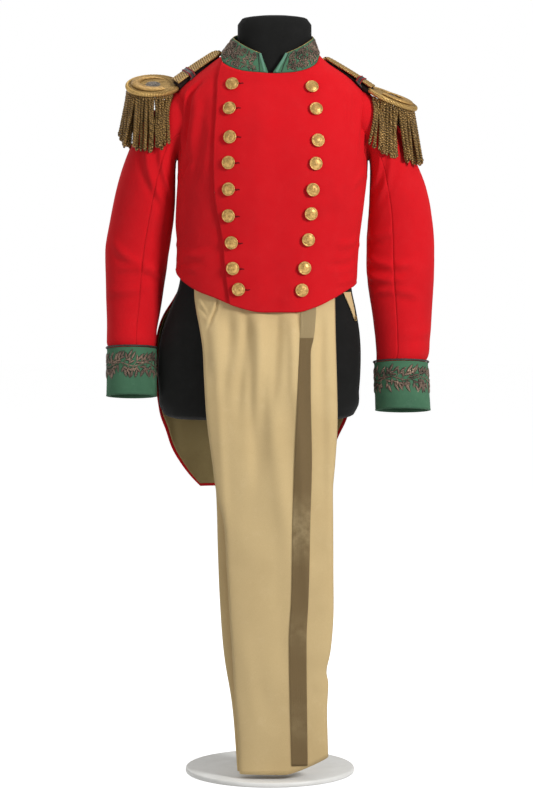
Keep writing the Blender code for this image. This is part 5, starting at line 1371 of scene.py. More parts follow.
def buildTails():
    for side, sign in (("Left", 1), ("Right", -1)):

        def outer(u, v, sign=sign):
            near = u if sign > 0 else 1 - u
            fromEdge = np.minimum((1 - near) * 0.2, (1 - v) * 0.43)
            return tailPoint(sign, near, v, 0, 0, edgeRidge(fromEdge))

        def inner(u, v, sign=sign):
            near = u if sign > 0 else 1 - u
            behind = tailSettings["wall"] + tailSettings["gap"]
            return tailPoint(sign, near * tailSettings["liningShare"], v, behind, tailSettings["inset"])

        clothShell("tail" + side, gridPoints(outer, 40, 72), tailSettings["wall"], scarletWool)
        clothShell("tailLining" + side, gridPoints(inner, 36, 64), tailSettings["liningWall"], buffLining)


turnbackSettings = {"top": 0.9655, "tip": 0.912, "wall": 0.0015, "stand": 0.0030, "knot": 0.0042}


def turnbackPoint(u, v, extra=0.0):
    height = turnbackSettings["tip"] + (turnbackSettings["top"] - turnbackSettings["tip"]) * v
    middle, half = 71 - 5.0 * v, 1.6 + 5.6 * v
    return sectionPoint(form, middle + half * (2 * u - 1), height, turnbackSettings["stand"] + extra)


def buildTurnback():
    clothShell("tailTurnback", gridPoints(turnbackPoint, 20, 32), turnbackSettings["wall"], buffKersey)
    # a small bullion knot at its tip
    pile = newPile()
    centre = turnbackPoint(np.array(0.5), np.array(0.02), 0.0012)
    turns = np.arange(28) / 28 * 2 * math.pi
    radius = turnbackSettings["knot"]
    ring = centre + np.stack([np.cos(turns) * radius * 0.5, 0 * turns, np.sin(turns) * radius], -1)
    addCord(pile, ring, np.array([0.8, -0.6, 0.0]), 0.0013, 0.0013, 8, 2, 0.3, 1500.0, closed=True)
    pilePiece("turnbackKnot", pile, bullionGold)


buildTails()
buildTurnback()
print("tails built")


# Trousers, pressed and hung so that one leg lies before the other

trouserSettings = {
    "wall": 0.0015, "power": 0.72, "hemRise": 0.033, "hemRiseStart": 0.030, "hemRiseWidth": 0.085,
    "waistHalfWidth": 0.176, "waistCentre": -0.011, "low": 0.020, "high": 1.0022,
    "bandLow": 1.003, "bandHigh": 1.038, "bandDepth": 0.0205, "bandCentre": -0.0125, "bandHalfWidth": 0.1345,
    "bandClear": 0.0011,
    # long folds: x, lean, width, depth, top, bottom
    "longFolds": [
        (-0.080, 0.10, 0.016, -0.0046, 0.94, 0.62), (-0.046, 0.05, 0.011, -0.0046, 0.94, 0.55),
        (-0.026, 0.13, 0.019, 0.0058, 0.94, 0.36), (0.010, -0.11, 0.018, -0.0050, 0.94, 0.48),
        (0.044, 0.05, 0.012, 0.0040, 0.94, 0.30), (0.098, 0.03, 0.013, -0.0042, 0.94, 0.46),
        (0.116, 0.00, 0.007, 0.0030, 0.94, 0.40), (-0.110, 0.05, 0.010, 0.0040, 0.94, 0.36),
    ],
    # sharper ones near the coat: from x, z to x, z, then bow, width, depth
    "frontFolds": [
        (-0.149, 0.970, -0.1235, 0.918, -0.004, 0.0026, -0.0062),
        (-0.096, 0.962, -0.1225, 0.896, 0.001, 0.0026, -0.0060),
        (-0.143, 0.960, -0.120, 0.908, -0.004, 0.0050, 0.0030),
        (-0.103, 0.955, -0.128, 0.900, 0.001, 0.0050, 0.0026),
        (-0.132, 0.905, -0.126, 0.800, 0.004, 0.0070, -0.0030),
        (-0.082, 0.925, -0.094, 0.760, 0.004, 0.0100, -0.0036),
        (-0.048, 0.935, -0.062, 0.740, 0.002, 0.0085, -0.0030),
        (-0.022, 0.935, -0.030, 0.700, 0.002, 0.0110, 0.0034),
        (0.016, 0.935, 0.004, 0.740, 0.002, 0.0090, -0.0030),
        (0.050, 0.940, 0.054, 0.890, 0.002, 0.0035, -0.0034),
        (0.040, 0.915, 0.040, 0.760, 0.003, 0.0080, 0.0022),
        (0.098, 0.930, 0.096, 0.780, 0.002, 0.0070, -0.0026),
        (0.084, 0.900, 0.082, 0.700, 0.001, 0.0080, 0.0016),
        (0.108, 0.190, 0.070, 0.150, 0.004, 0.0080, -0.0016),
        (0.112, 0.175, 0.085, 0.185, 0.003, 0.0060, 0.0014),
        (-0.060, 0.300, -0.030, 0.120, 0.004, 0.0140, 0.0012),
        (0.010, 0.420, 0.030, 0.180, 0.004, 0.0160, -0.0011),
    ],
}
frontLeg = curvesOf(table(
    "height left right depth halfDepth bend",
    (0.020, -0.0604, 0.1149, -0.1280, 0.0150, 0.008), (0.117, -0.0655, 0.1126, -0.1280, 0.0150, 0.008),
    (0.178, -0.0705, 0.1149, -0.1280, 0.0150, 0.009), (0.203, -0.0720, 0.1112, -0.1280, 0.0150, 0.009),
    (0.242, -0.0740, 0.1180, -0.1280, 0.0150, 0.009), (0.308, -0.0785, 0.1239, -0.1280, 0.0150, 0.010),
    (0.427, -0.0857, 0.1245, -0.1275, 0.0150, 0.013), (0.520, -0.0927, 0.1240, -0.1270, 0.0148, 0.016),
    (0.575, -0.1058, 0.1235, -0.1268, 0.0146, 0.019), (0.632, -0.1136, 0.1278, -0.1265, 0.0145, 0.021),
    (0.717, -0.1247, 0.1325, -0.1250, 0.0143, 0.028), (0.800, -0.1300, 0.1310, -0.1220, 0.0138, 0.042),
    (0.860, -0.1335, 0.1295, -0.1160, 0.0118, 0.058), (0.900, -0.1400, 0.1288, -0.1095, 0.0085, 0.070),
    (0.930, -0.1460, 0.1285, -0.1045, 0.0055, 0.080), (0.965, -0.1500, 0.1280, -0.1035, 0.0046, 0.090),
    (1.0022, -0.1500, 0.1270, -0.1027, 0.0042, 0.090),
))
backLeg = curvesOf(table(
    "height left right depth halfDepth bend",
    (0.020, -0.0645, 0.0900, -0.1030, 0.0085, 0.008), (0.165, -0.0767, 0.0940, -0.1030, 0.0085, 0.008),
    (0.240, -0.0892, 0.1000, -0.1030, 0.0085, 0.009), (0.365, -0.0992, 0.1080, -0.1030, 0.0085, 0.011),
    (0.450, -0.1025, 0.1100, -0.1028, 0.0083, 0.014), (0.573, -0.1062, 0.1100, -0.1022, 0.0080, 0.019),
    (0.717, -0.1200, 0.1150, -0.1010, 0.0070, 0.028), (0.800, -0.1240, 0.1150, -0.0995, 0.0058, 0.042),
    (0.860, -0.1280, 0.1150, -0.0972, 0.0048, 0.058), (0.900, -0.1340, 0.1150, -0.0945, 0.0048, 0.068),
    (0.930, -0.1400, 0.1150, -0.0925, 0.0043, 0.078), (0.965, -0.1450, 0.1150, -0.0924, 0.0041, 0.090),
    (1.0020, -0.1450, 0.1150, -0.0918, 0.0038, 0.090),
))


def waistBend(x):
    reach = np.minimum(np.abs(x - trouserSettings["waistCentre"]) / trouserSettings["waistHalfWidth"], 0.999)
    power = bodyShape["squareness"]
    return 1 - (1 - reach ** power) ** (1 / power)


def hemRise(x):
    reach = np.clip((x - trouserSettings["hemRiseStart"]) / trouserSettings["hemRiseWidth"], 0.0, 1.0)
    return trouserSettings["hemRise"] * reach ** 1.3


def longFolds(x, height):
    total = 0 * x
    for place, lean, width, depth, top, bottom in trouserSettings["longFolds"]:
        fade = blend(bottom, bottom + 0.22, height) * (1 - blend(top - 0.045, top, height))
        total = total + depth * fade * np.exp(-(((x - place - lean * (top - height)) / width) ** 2))
    return total


def legPoint(leg, u, v, folded, extra=0.0):
    angle = -2 * math.pi * u
    height = trouserSettings["low"] + (trouserSettings["high"] - trouserSettings["low"]) * v
    left, right = leg["left"](height), leg["right"](height)
    x = (left + right) / 2 + (right - left) / 2 * signedPower(np.cos(angle), trouserSettings["power"])
    front = signedPower(np.sin(angle), trouserSettings["power"])
    y = leg["depth"](height) + leg["bend"](height) * waistBend(x) + leg["halfDepth"](height) * front
    face = np.clip(-front, 0, 1)
    if folded:
        y = y - face * longFolds(x, height)
        y = y - face * foldField(trouserSettings["frontFolds"], x, height)
        y = y - face * softWaves(x, height, 71, 0.12, 0.0022)
    y = y - np.asarray(extra) * np.sign(-front)
    height = height + hemRise(x) * (1 - blend(0.0, 0.4, v))
    return np.stack([x, y, height], -1)


def legFace(leg, x, height, lift, folded=True):
    # the outer face of a leg at these x and heights
    left, right = leg["left"](height), leg["right"](height)
    reach = np.minimum(np.abs(x - (left + right) / 2) / ((right - left) / 2), 0.999)
    reach = reach ** (1 / trouserSettings["power"])
    front = (1 - reach * reach) ** (trouserSettings["power"] / 2)
    y = leg["depth"](height) + leg["bend"](height) * waistBend(x)
    if not folded:
        return np.stack([x, y + leg["halfDepth"](height) * front + lift, height], -1)
    y = y - leg["halfDepth"](height) * front - front * longFolds(x, height)
    y = y - front * foldField(trouserSettings["frontFolds"], x, height)
    y = y - front * softWaves(x, height, 71, 0.12, 0.0022)
    return np.stack([x, y - lift, height], -1)


stripeSettings = {"wall": 0.0012, "low": 0.038, "high": 0.940, "backHigh": 0.850, "backShift": -0.035}
stripeEdges = curvesOf(table(
    "height left right",
    (0.030, 0.0425, 0.0740), (0.284, 0.0374, 0.0715), (0.367, 0.0417, 0.0752), (0.520, 0.0442, 0.0790),
    (0.639, 0.0477, 0.0818), (0.785, 0.0545, 0.0793), (0.846, 0.0573, 0.0793), (0.880, 0.0585, 0.0860),
    (0.925, 0.0600, 0.0905),
))


def buildTrousers():
    wall = trouserSettings["wall"]

    def frontSurface(u, v):
        return legPoint(frontLeg, 1 - u, v, True)

    columns = evenShares(frontSurface, 140, 0.86, lambda points: np.where(points[:, 1] < -0.112, 2.2, 1.0))
    rows = np.concatenate([np.linspace(0, 0.62, 60, endpoint=False), np.linspace(0.62, 1, 93)])
    frontPoints = gridPoints(frontSurface, 140, 152, columns, rows)
    clothShell("trouserLegLeft", frontPoints, wall, buffKersey, closed=True)
    backPoints = gridPoints(lambda u, v: legPoint(backLeg, 1 - u, v, False), 64, 80)
    clothShell("trouserLegRight", backPoints, wall, buffKersey, closed=True)

    def band(u, v):
        height = trouserSettings["bandLow"] + (trouserSettings["bandHigh"] - trouserSettings["bandLow"]) * v
        angle = 2 * math.pi * u
        x = trouserSettings["bandCentre"] + trouserSettings["bandHalfWidth"] * signedPower(np.cos(angle),
                                                                                           0.8)
        halfDepth = (form["back"](height) - form["front"](height)) / 2
        middle = (form["back"](height) + form["front"](height)) / 2
        reach = np.minimum(np.abs(x - form["centre"](height)) / form["halfWidth"](height), 0.999)
        power = bodyShape["squareness"]
        back = middle - halfDepth * (1 - reach ** power) ** (1 / power) - trouserSettings["bandClear"]
        depth = trouserSettings["bandDepth"] / 2
        return np.stack([x, back - depth + depth * signedPower(np.sin(angle), 0.6), height], -1)

    clothShell("trouserWaistband", gridPoints(band, 90, 10), wall, buffKersey,
               closed=True)

    def stripe(u, v):
        height = stripeSettings["low"] + (stripeSettings["high"] - stripeSettings["low"]) * v
        left, right = stripeEdges["left"](height), stripeEdges["right"](height)
        ribs = 0.00012 * np.cos(u * 2 * math.pi * 9) - 0.0004 * (1 - blend(0.0, 0.05, np.minimum(u, 1 - u)))
        return legFace(frontLeg, left + (right - left) * u, height, stripeSettings["wall"] + 0.0006 + ribs)

    clothShell("sideStripeLeft", gridPoints(stripe, 28, 170), stripeSettings["wall"], laceStripe)

    def backStripe(u, v):
        height = stripeSettings["low"] + (stripeSettings["backHigh"] - stripeSettings["low"]) * v
        left, right = stripeEdges["left"](height), stripeEdges["right"](height)
        x = left + (right - left) * (1 - u) + stripeSettings["backShift"]
        return legFace(backLeg, x, height, stripeSettings["wall"] + 0.0006, False)

    clothShell("sideStripeRight", gridPoints(backStripe, 20, 120), stripeSettings["wall"], laceStripe)


buildTrousers()
print("trousers built")


# Buttons and their holes

buttonSettings = {"radius": 0.0130, "rim": 0.0012, "beads": 26, "holeLength": 0.017, "holeWidth": 0.0016}


def buttonPlace(node):
    low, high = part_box(node)
    middle = (Vector(low) + Vector(high)) / 2
    height = middle.z
    if node.startswith("waist"):
        degrees = math.copysign(158.0, middle.x - float(coat["centre"](height)))
    else:
        degrees = float(angleOfX(coat, middle.x, height))
    normal = Vector(coatNormal(np.array(degrees), np.array(height)))
    place = normal.to_track_quat("Z", "Y").to_matrix().to_4x4()
    place.translation = middle - normal * 0.0018
    return place


def buildButtons():
    radius = buttonSettings["radius"]
    profile = [
        (0, 0.0052), (0.002, 0.00515), (0.004, 0.0049), (0.006, 0.0044), (0.0078, 0.0037), (0.0090, 0.0031),
        (0.0098, 0.0026), (0.0104, 0.0025), (0.0110, 0.0030), (0.0118, 0.0034), (0.0125, 0.0031),
        (radius, 0.0022),
        (radius - 0.0002, 0.0012), (0.0110, 0.0002), (0.0030, -0.0002), (0.0025, -0.0022), (0, -0.0022),
    ]
    nodes = [f"button_{side}_{i}" for side in ("left", "right") for i in range(1, 10)]
    for node in nodes + ["waist_button_left", "waist_button_right"]:
        place = buttonPlace(node)
        pile = newPile()
        addTurned(pile, profile, place, 40)
        # plain beading inside the rim, and a small rosette of eight lobes in the middle
        beads = buttonSettings["beads"]
        for i in range(beads):
            angle = 2 * math.pi * i / beads
            spot = place @ Matrix.Translation((0.0101 * math.cos(angle), 0.0101 * math.sin(angle), 0.0026))
            addTurned(pile, [(0, 0.0007), (0.0005, 0.0005), (0.0007, 0.0), (0, -0.0004)], spot, 6)
        for i in range(8):
            angle = 2 * math.pi * i / 8
            spot = place @ Matrix.Translation((0.0033 * math.cos(angle), 0.0033 * math.sin(angle), 0.0047))
            addTurned(pile, [(0, 0.0009), (0.0009, 0.0006), (0.0014, 0.0), (0, -0.0006)], spot, 8)
        pilePiece(node.replace("_b", "B").replace("_l", "L").replace("_r", "R").replace("_", ""), pile,
                  giltButton, [node])


def buildButtonholes():
    # stitched slits beside the column that closes the coat
    pile = newPile()
    for i in range(1, 10):
        low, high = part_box(f"button_right_{i}")
        height = (low[2] + high[2]) / 2 - 0.001
        start = (low[0] + high[0]) / 2 + 0.006
        x = start + np.linspace(0, buttonSettings["holeLength"], 14)
        level = height + 0 * x + 0.0005 * np.sin(x * 900)
        degrees = angleOfX(coat, x, level)
        lift = overlapLift(x) + coatForm(degrees, level) + 0.0001
        centres = coatPoint(degrees, level, lift)
        ups = coatNormal(degrees, level)
        sides = unit(np.cross(unit(np.gradient(centres, axis=0)), ups))
        shape = np.sin(np.pi * np.clip(np.linspace(0.04, 0.96, 14), 0, 1)) ** 0.35
        addTube(pile, centres, sides, ups, buttonSettings["holeWidth"] * shape, 0.0007 * shape, 8)
    pilePiece("buttonholes", pile, holeThread)


buildButtons()
buildButtonholes()
print("buttons built")


# Epaulettes

epauletteSettings = {
    "discRadius": 0.055, "rimTop": 0.0048, "rimRibs": 110, "fieldHeight": 0.0030, "crescentRadius": 0.034,
    "strapWidth": 0.044, "strapThickness": 0.0045, "strapLap": 0.011, "keeperLength": 0.012,
    "shadowFillStart": 0.03, "shadowFillDepth": 0.020, "stripRadius": 0.0500, "openFront": 38.0, "openBack": 62.0,
    "strands": 34, "innerStrands": 11, "strandLength": 0.097, "strandSplay": 0.16, "clearance": 0.0052,
    "plyRadius": 0.0021, "plyReach": 0.0019, "plyPitch": 0.0100,
}
epauletteRows = {
    "Right": {"sign": -1, "centre": (-0.2324, -0.010, 1.374), "outTilt": 0.0, "frontTilt": 25.0,
              "neck": (-0.1020, 1.442), "keeper": 0.31, "foot": 0.0020, "clear": 0.0024},
    "Left": {"sign": 1, "centre": (0.2422, -0.006, 1.349), "outTilt": 22.4, "frontTilt": 13.0,
             "neck": (0.1120, 1.430), "keeper": 0.25, "foot": 0.0105, "clear": 0.0003},
}


def epaulettePlace(row):
    tiltOut = Matrix.Rotation(row["sign"] * math.radians(row["outTilt"]), 3, "Y")
    tiltOn = Matrix.Rotation(math.radians(row["frontTilt"]), 3, "X")
    up = tiltOn @ (tiltOut @ Vector((0.0, 0.0, 1.0)))
    outward = (tiltOn @ (tiltOut @ Vector((row["sign"], 0.0, 0.0)))).normalized()
    side = up.cross(outward).normalized()
    place = Matrix((outward, side, up)).transposed().to_4x4()
    place.translation = row["centre"]
    return place


def putAt(place, local):
    matrix = np.array(place)
    return np.asarray(local) @ matrix[:3, :3].T + matrix[:3, 3]


def shoulderTree(sign):
    degrees = np.arange(0, 361, 7.5)
    surface, length = sleeveSurface(sign, degrees)
    sleeve = surface(np.linspace(0, length * 0.55, 41))
    angle, height = np.meshgrid(sign * np.linspace(30, 150, 31), np.linspace(1.18, 1.37, 31))
    verts, faces = [], []
    for points in (sleeve, sectionPoint(coat, angle, height)):
        first = len(verts)
        rows, columns = points.shape[:2]
        verts += [Vector(p) for p in points.reshape(-1, 3)]
        for j in range(rows - 1):
            for i in range(columns - 1):
                at = first + j * columns + i
                faces.append((at, at + 1, at + columns + 1, at + columns))
    return BVHTree.FromPolygons(verts, faces)


def strandRoute(tree, root, outward, length, centre, splay, steps=26):
    clearance = epauletteSettings["clearance"]
    points = [root]
    heading = (outward * splay + Vector((0.0, 0.0, -1.0))).normalized()
    step = length / steps
    for _ in range(steps):
        point = points[-1] + heading * step
        for _ in range(4):
            near, _, _, distance = tree.find_nearest(point)
            away = Vector((near.x - centre.x, near.y - centre.y, 0.0))
            inside = away.length > Vector((point.x - centre.x, point.y - centre.y, 0.0)).length
            if not inside and distance >= clearance:
                break
            out = away.normalized() if inside or distance < 1e-6 else (point - near).normalized()
            out = Vector((out.x, out.y, max(out.z, 0.0))).normalized()
            point = near + out * clearance
        points.append(points[-1] + (point - points[-1]).normalized() * step)
    return np.array(points)


def strandPlies(route, pick):
    # two plies wound round each other and joined in a loop at the bottom
    settings = epauletteSettings
    fine = smoothCurve(np.linspace(0, 1, len(route)), route)(np.linspace(0, 1, 54))
    along = unit(np.gradient(fine, axis=0))
    sideways = unit(np.cross(along, np.array([1.0, 0.3, 0.0])))
    onwards = np.cross(along, sideways)
    gone = np.concatenate([[0], np.cumsum(np.linalg.norm(np.diff(fine, axis=0), axis=1))])
    turn = 2 * math.pi * gone / (settings["plyPitch"] * pick.uniform(0.9, 1.15)) + pick.uniform(0, 6.2)
    spoke = np.cos(turn)[:, None] * sideways + np.sin(turn)[:, None] * onwards
    reach = settings["plyReach"] * (1 + 0.6 * blend(gone[-1] - 0.007, gone[-1], gone))
    bend = np.linspace(0, math.pi, 9)[1:-1, None]
    around = np.cos(bend) * spoke[-1] + np.sin(bend) * along[-1]
    loop = fine[-1] + reach[-1] * (np.cos(bend) * spoke[-1] + 1.4 * np.sin(bend) * along[-1])
    centres = np.concatenate([fine + spoke * reach[:, None], loop, (fine - spoke * reach[:, None])[::-1]])
    outs = np.concatenate([spoke, around, -spoke[::-1]])
    return centres, outs


def buildFringe(side, row, place):
    settings = epauletteSettings
    pick = random.Random(80 + row["sign"])
    tree = shoulderTree(row["sign"])
    pile = newPile()
    start = -180 + (settings["openFront"] if row["sign"] > 0 else settings["openBack"])
    sweep = 360 - settings["openFront"] - settings["openBack"]
    # backing strip under the disc's rim
    angles = np.radians(np.linspace(start, start + sweep, 80))
    local = np.stack([settings["stripRadius"] * np.cos(angles), settings["stripRadius"] * np.sin(angles),
                      0 * angles - 0.0072], -1)
    centres = putAt(place, local)
    addCord(pile, centres, np.array(place)[:3, 2], 0.0028, 0.0026, 8, 2, 0.25, 1400.0)
    centre = Vector((row["centre"][0] - row["sign"] * 0.020, 0.0, 0.0))
    rows = [(settings["stripRadius"], settings["strands"], 1.0),
            (settings["stripRadius"] - 0.006, settings["innerStrands"], 0.5)]
    for radius, count, spread in rows:
        for i in range(count):
            angle = math.radians(start + sweep * (i + 0.5 + pick.uniform(-0.16, 0.16)) / count)
            root = place @ Vector((radius * math.cos(angle), radius * math.sin(angle), -0.0085))
            outward = (place.to_3x3() @ Vector((math.cos(angle), math.sin(angle), 0.0))).normalized()
            outward.z = 0.0
            turn = Matrix.Rotation(pick.gauss(0, 0.45), 3, "Z")
            length = settings["strandLength"] * pick.uniform(0.95, 1.04)
            splay = settings["strandSplay"] * spread * pick.uniform(0.3, 1.5)
            route = strandRoute(tree, root, turn @ outward, length, centre, splay)
            centres, outs = strandPlies(route, pick)
            addCord(pile, centres, outs, settings["plyRadius"], settings["plyRadius"], 6)
    pilePiece("epauletteFringe" + side, pile, fringeGold, ["epaulette_fringe_" + side.lower()])


def buildDisc(side, row, place):
    settings = epauletteSettings
    radius, top = settings["discRadius"], settings["fieldHeight"]
    up = np.array(place)[:3, 2]
    pile = newPile()
    addTurned(pile, [
        (0, top), (0.020, top), (0.040, top), (0.046, top + 0.0002), (0.0505, 0.0024), (0.0515, 0.0),
        (0.0505, -0.0030), (0.046, -0.0042), (0.030, -0.0042), (0, -0.0042),
    ], place, 80)
    # thick wound rim, ribbed across
    rim = newPile()
    angles = np.arange(660) / 660 * 2 * math.pi
    ribs = 1 + 0.10 * np.cos(settings["rimRibs"] * angles)
    local = np.stack([0.0512 * np.cos(angles), 0.0512 * np.sin(angles), 0.0003 + 0 * angles], -1)
    centres = putAt(place, local)
    addCord(rim, centres, up, 0.0036 * ribs, 0.0045 * ribs, 10, closed=True)
    pilePiece("epauletteRim" + side, rim, rimGold)
    # coiled cords inside it
    angles = angles[::3]
    for ring in (0.0462, 0.0436, 0.0412, 0.0390):
        local = np.stack([ring * np.cos(angles), ring * np.sin(angles), top + 0.0003 + 0 * angles], -1)
        centres = putAt(place, local)
        sides, ups = tubeFrames(centres, up, True)
        turns = round(2 * math.pi * ring / 0.0050)
        addTube(pile, centres, sides, ups, 0.0013, 0.0012, 8, 2, 0.30,
                math.pi * turns / (2 * math.pi * ring), closed=True)
    # lace field: low ridges side by side
    for k in range(-8, 9):
        across = k * 0.0044
        half = math.sqrt(0.0375 ** 2 - across ** 2)
        along = np.linspace(-half, half, 16)
        local = np.stack([along, across + 0 * along, top - 0.0001 + 0 * along], -1)
        centres = putAt(place, local)
        addCord(pile, centres, up, 0.0020, 0.0007, 6)
    pilePiece("epauletteDisc" + side, pile, bullionGold, ["epaulette_disc_" + side.lower()])

    # padded crescent, fullest towards the front
    pile = newPile()
    share = np.linspace(-1, 1, 150)
    angles = np.radians(128 * share)
    fullest = -0.35 * row["sign"]
    fat = 0.0020 + 0.0074 * np.cos(np.radians(68 * (share - fullest)))
    winding = 1 + 0.035 * np.cos(share * 190)
    ring = settings["crescentRadius"]
    local = np.stack([ring * np.cos(angles), ring * np.sin(angles), 0.0034 + 0.42 * fat], -1)
    centres = putAt(place, local)
    addCord(pile, centres, up, fat * winding, 0.42 * fat * winding, 16)
    pilePiece("epauletteCrescent" + side, pile, crescentGold, ["epaulette_crescent_" + side.lower()])

    # plain rosette in the middle: a dark field, a ring of petals and a boss
    pile = newPile()
    addTurned(pile, [(0, 0.0046), (0.0125, 0.0044), (0.0150, 0.0036), (0.0152, 0.0026), (0, 0.0026)],
              place, 36)
    for i in range(10):
        angle = 2 * math.pi * i / 10
        along = np.linspace(0.003, 0.0115, 9)
        shape = np.sin(np.pi * np.linspace(0.06, 0.94, 9)) ** 0.7
        local = np.stack([along * math.cos(angle), along * math.sin(angle), 0.0052 + 0 * along], -1)
        centres = putAt(place, local)
        addCord(pile, centres, up, 0.0021 * shape, 0.0012 * shape, 8)
    addTurned(pile, [(0, 0.0082), (0.0016, 0.0078), (0.0028, 0.0066), (0.0034, 0.0050), (0, 0.0040)],
              place, 20)
    pilePiece("epauletteRosette" + side, pile, silverThread)


def buildStrap(side, row, place):
    settings = epauletteSettings
    rise = settings["rimTop"] + settings["strapThickness"] / 2 + row["clear"]
    low = place @ Vector((settings["strapLap"] - settings["discRadius"], 0.0, rise))
    high = Vector((row["neck"][0], 0.0, row["neck"][1]))
    run = (high - low).normalized()
    tilt = math.radians(row["frontTilt"])
    width = Vector((0.0, -math.cos(tilt), -math.sin(tilt)))
    width = (width - run * width.dot(run)).normalized()
    face = width.cross(run)
    if face.z < 0:
        face = -face
    length = (high - low).length
    lowP, runP, widthP, faceP = (np.array(vector) for vector in (low, run, width, face))
    thick = settings["strapThickness"]

    def pointAt(u, v):
        tip = np.clip((v - 0.86) / 0.14, 0, 1)
        half = settings["strapWidth"] / 2 * (1 - 0.12 * v) * np.sqrt(1 - 0.93 * tip ** 2)
        ribs = 0.0006 * np.abs(np.sin(u * math.pi * 9)) + 0.0007 * np.abs(np.sin(v * math.pi * 17))
        bow = 0.0010 * np.sin(np.pi * v)
        height = thick / 2 - 0.0004 + ribs + bow
        across = half * (2 * u - 1)
        return (lowP + runP * (length * v)[..., None] + widthP * across[..., None] + faceP * height[...,
                                                                                                    None])

    points = gridPoints(pointAt, 36, 84)
    if np.cross(points[0, 1] - points[0, 0], points[1, 0] - points[0, 0]) @ faceP < 0:
        points = points[:, ::-1]
    clothShell("epauletteStrap" + side, points, thick - 0.0002, strapGold)

    # cord along both edges of the strap
    pile = newPile()
    for edge in (0.0, 1.0):
        v = np.linspace(0, 1, 90)
        centres = pointAt(np.full(90, edge), v) - faceP * thick * 0.35
        addCord(pile, centres, faceP, 0.0015, 0.0018, 8, 2, 0.35, 1100.0)
    pilePiece("epauletteStrapCord" + side, pile, bullionGold)

    # painted shadow: a dark padded sheet filling the gap between the strap and the shoulder, where there is
    # only shade
    pile = newPile()
    under, depths = [], []
    for v in np.linspace(settings["shadowFillStart"], 0.96, 40):
        top = low.lerp(high, v) - face * (thick / 2)
        depth = top.z - shoulderHeight(top.x, top.y) - 0.0008
        depth = min(max(depth, 0.0012), settings["shadowFillDepth"])
        depths.append(depth / 2)
        under.append(np.array(top) - np.array((0.0, 0.0, depth / 2)))
    under = np.array(under)
    addCord(pile, under, faceP, settings["strapWidth"] * 0.42, np.array(depths), 16)
    pilePiece("epauletteStrapBacking" + side, pile, shadowFillCloth)

    # keeper: a dark checked band with red edges
    half = settings["strapWidth"] / 2 + 0.0025
    over = thick / 2 + 0.0024
    profile = [(-half - 0.001, None), (-half - 0.0004, -0.004), (-half, -0.001),
               (-half + 0.0004, over - 0.0014),
               (-half + 0.0022, over - 0.0002), (-half / 2, over + 0.0002), (0.0, over + 0.0003)]
    profile += [(-across, height) for across, height in reversed(profile[:-1])]
    middle = low.lerp(high, row["keeper"])
    lines = {}
    for at in (-0.5, -0.36, 0.36, 0.5):
        line = []
        for across, height in profile:
            point = middle + run * (settings["keeperLength"] * at) + width * across
            if height is None:
                line.append(Vector((point.x, point.y, shoulderHeight(point.x, point.y) + row["foot"])))
            else:
                line.append(point + face * height)
        lines[at] = np.array(line)
    smooth = {at: smoothCurve(np.arange(len(line)), line)(np.linspace(0, len(line) - 1, 73)) for at,
              line in lines.items()}
    points = np.stack([smooth[-0.5] * (1 - t) + smooth[0.5] * t for t in np.linspace(0, 1, 13)])
    if np.cross(points[0, 37] - points[0, 36], points[1, 36] - points[0, 36]) @ faceP < 0:
        points = points[:, ::-1]
    clothShell("epauletteKeeper" + side, points, 0.0014, darkCord)
    pile = newPile()
    for at in (-0.36, 0.36):
        centres = smooth[at] + faceP * 0.0002
        addCord(pile, centres[4:-4], faceP + runP * 0.01, 0.0009, 0.0009, 6)
    pilePiece("keeperEdge" + side, pile, redBraid)


def shoulderHeight(x, y):
    low, high = 1.30, 1.45
    for _ in range(24):
        height = (low + high) / 2
        halfDepth = float(coat["back"](height) - coat["front"](height)) / 2
        middle = float(coat["back"](height) + coat["front"](height)) / 2
        across = abs(x - float(coat["centre"](height))) / float(coat["halfWidth"](height))
        along = abs(y - middle) / halfDepth
        inside = across ** bodyShape["squareness"] + along ** bodyShape["squareness"] < 1
        low, high = (height, high) if inside else (low, height)
    return low


for side, row in epauletteRows.items():
    place = epaulettePlace(row)
    buildDisc(side, row, place)
    buildStrap(side, row, place)
    buildFringe(side, row, place)
print("epaulettes built")


# Studio

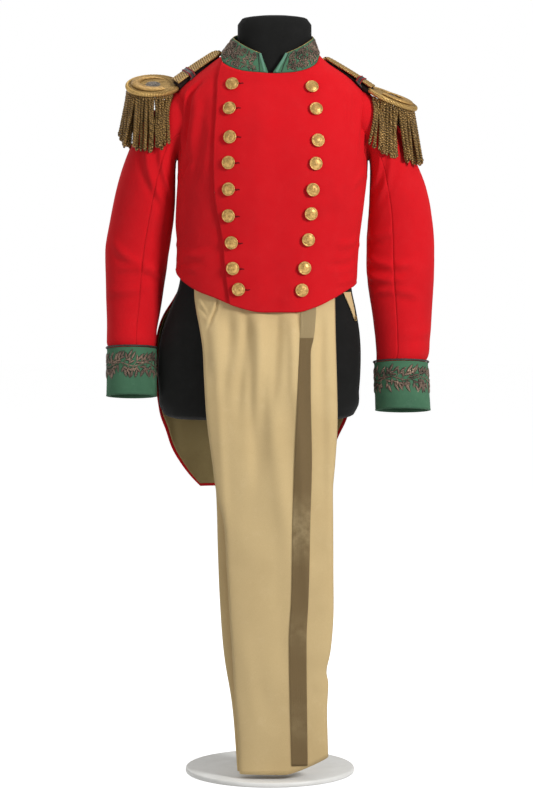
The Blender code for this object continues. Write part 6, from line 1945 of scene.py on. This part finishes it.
studioSettings = {
    "floorColour": (0.75, 0.75, 0.75, 1.0), "floorGlow": 0.74, "backdrop": 1.0, "ambient": 0.33,
    # name, place, aim, size, power
    "lights": (
        ("keyLight", (2.9, -2.7, 2.5), (0.0, 0.0, 0.9), 0.9, 138),
        ("fillLight", (-2.6, -3.2, 1.4), (0.0, 0.0, 0.8), 2.2, 30),
        ("topLight", (-0.2, 0.3, 3.6), (0.0, 0.0, 0.9), 2.0, 24),
        ("backLight", (-1.8, 3.0, 2.2), (0.0, 0.0, 0.9), 2.0, 26),
    ),
}


def buildStudio():
    settings = studioSettings
    floorLook = newLook("studioFloor", Base_Color=settings["floorColour"], Roughness=0.8,
                        Emission_Color=(1.0, 1.0, 1.0, 1.0), Emission_Strength=settings["floorGlow"])[0]
    mesh = bpy.data.meshes.new("studioFloor")
    mesh.from_pydata([(-20, -9, -0.0005), (20, -9, -0.0005), (20, 20, -0.0005), (-20, 20, -0.0005)], [],
                     [(0, 1, 2, 3)])
    mesh.materials.append(floorLook)
    floor = bpy.data.objects.new("studioFloor", mesh)
    floor.visible_diffuse = False
    bpy.context.scene.collection.objects.link(floor)
    for name, place, aim, size, power in settings["lights"]:
        data = bpy.data.lights.new(name, "AREA")
        data.size = size
        data.energy = power
        light = bpy.data.objects.new(name, data)
        light.location = place
        light.rotation_mode = "QUATERNION"
        light.rotation_quaternion = (Vector(aim) - Vector(place)).to_track_quat("-Z", "Y")
        bpy.context.scene.collection.objects.link(light)
    world = bpy.data.worlds.new("paleStudio")
    bpy.context.scene.world = world
    world.use_nodes = True
    tree = world.node_tree
    backdrop = tree.nodes["Background"]
    seen = addNode(tree, "ShaderNodeLightPath").outputs["Is Camera Ray"]
    tree.links.new(rangeOf(tree, seen, 0.0, 1.0, settings["ambient"], settings["backdrop"]),
                   backdrop.inputs["Strength"])
    backdrop.inputs["Color"].default_value = (1.0, 1.0, 1.0, 1.0)
    bpy.context.scene.view_settings.view_transform = "Standard"


buildStudio()
print("studio lit")
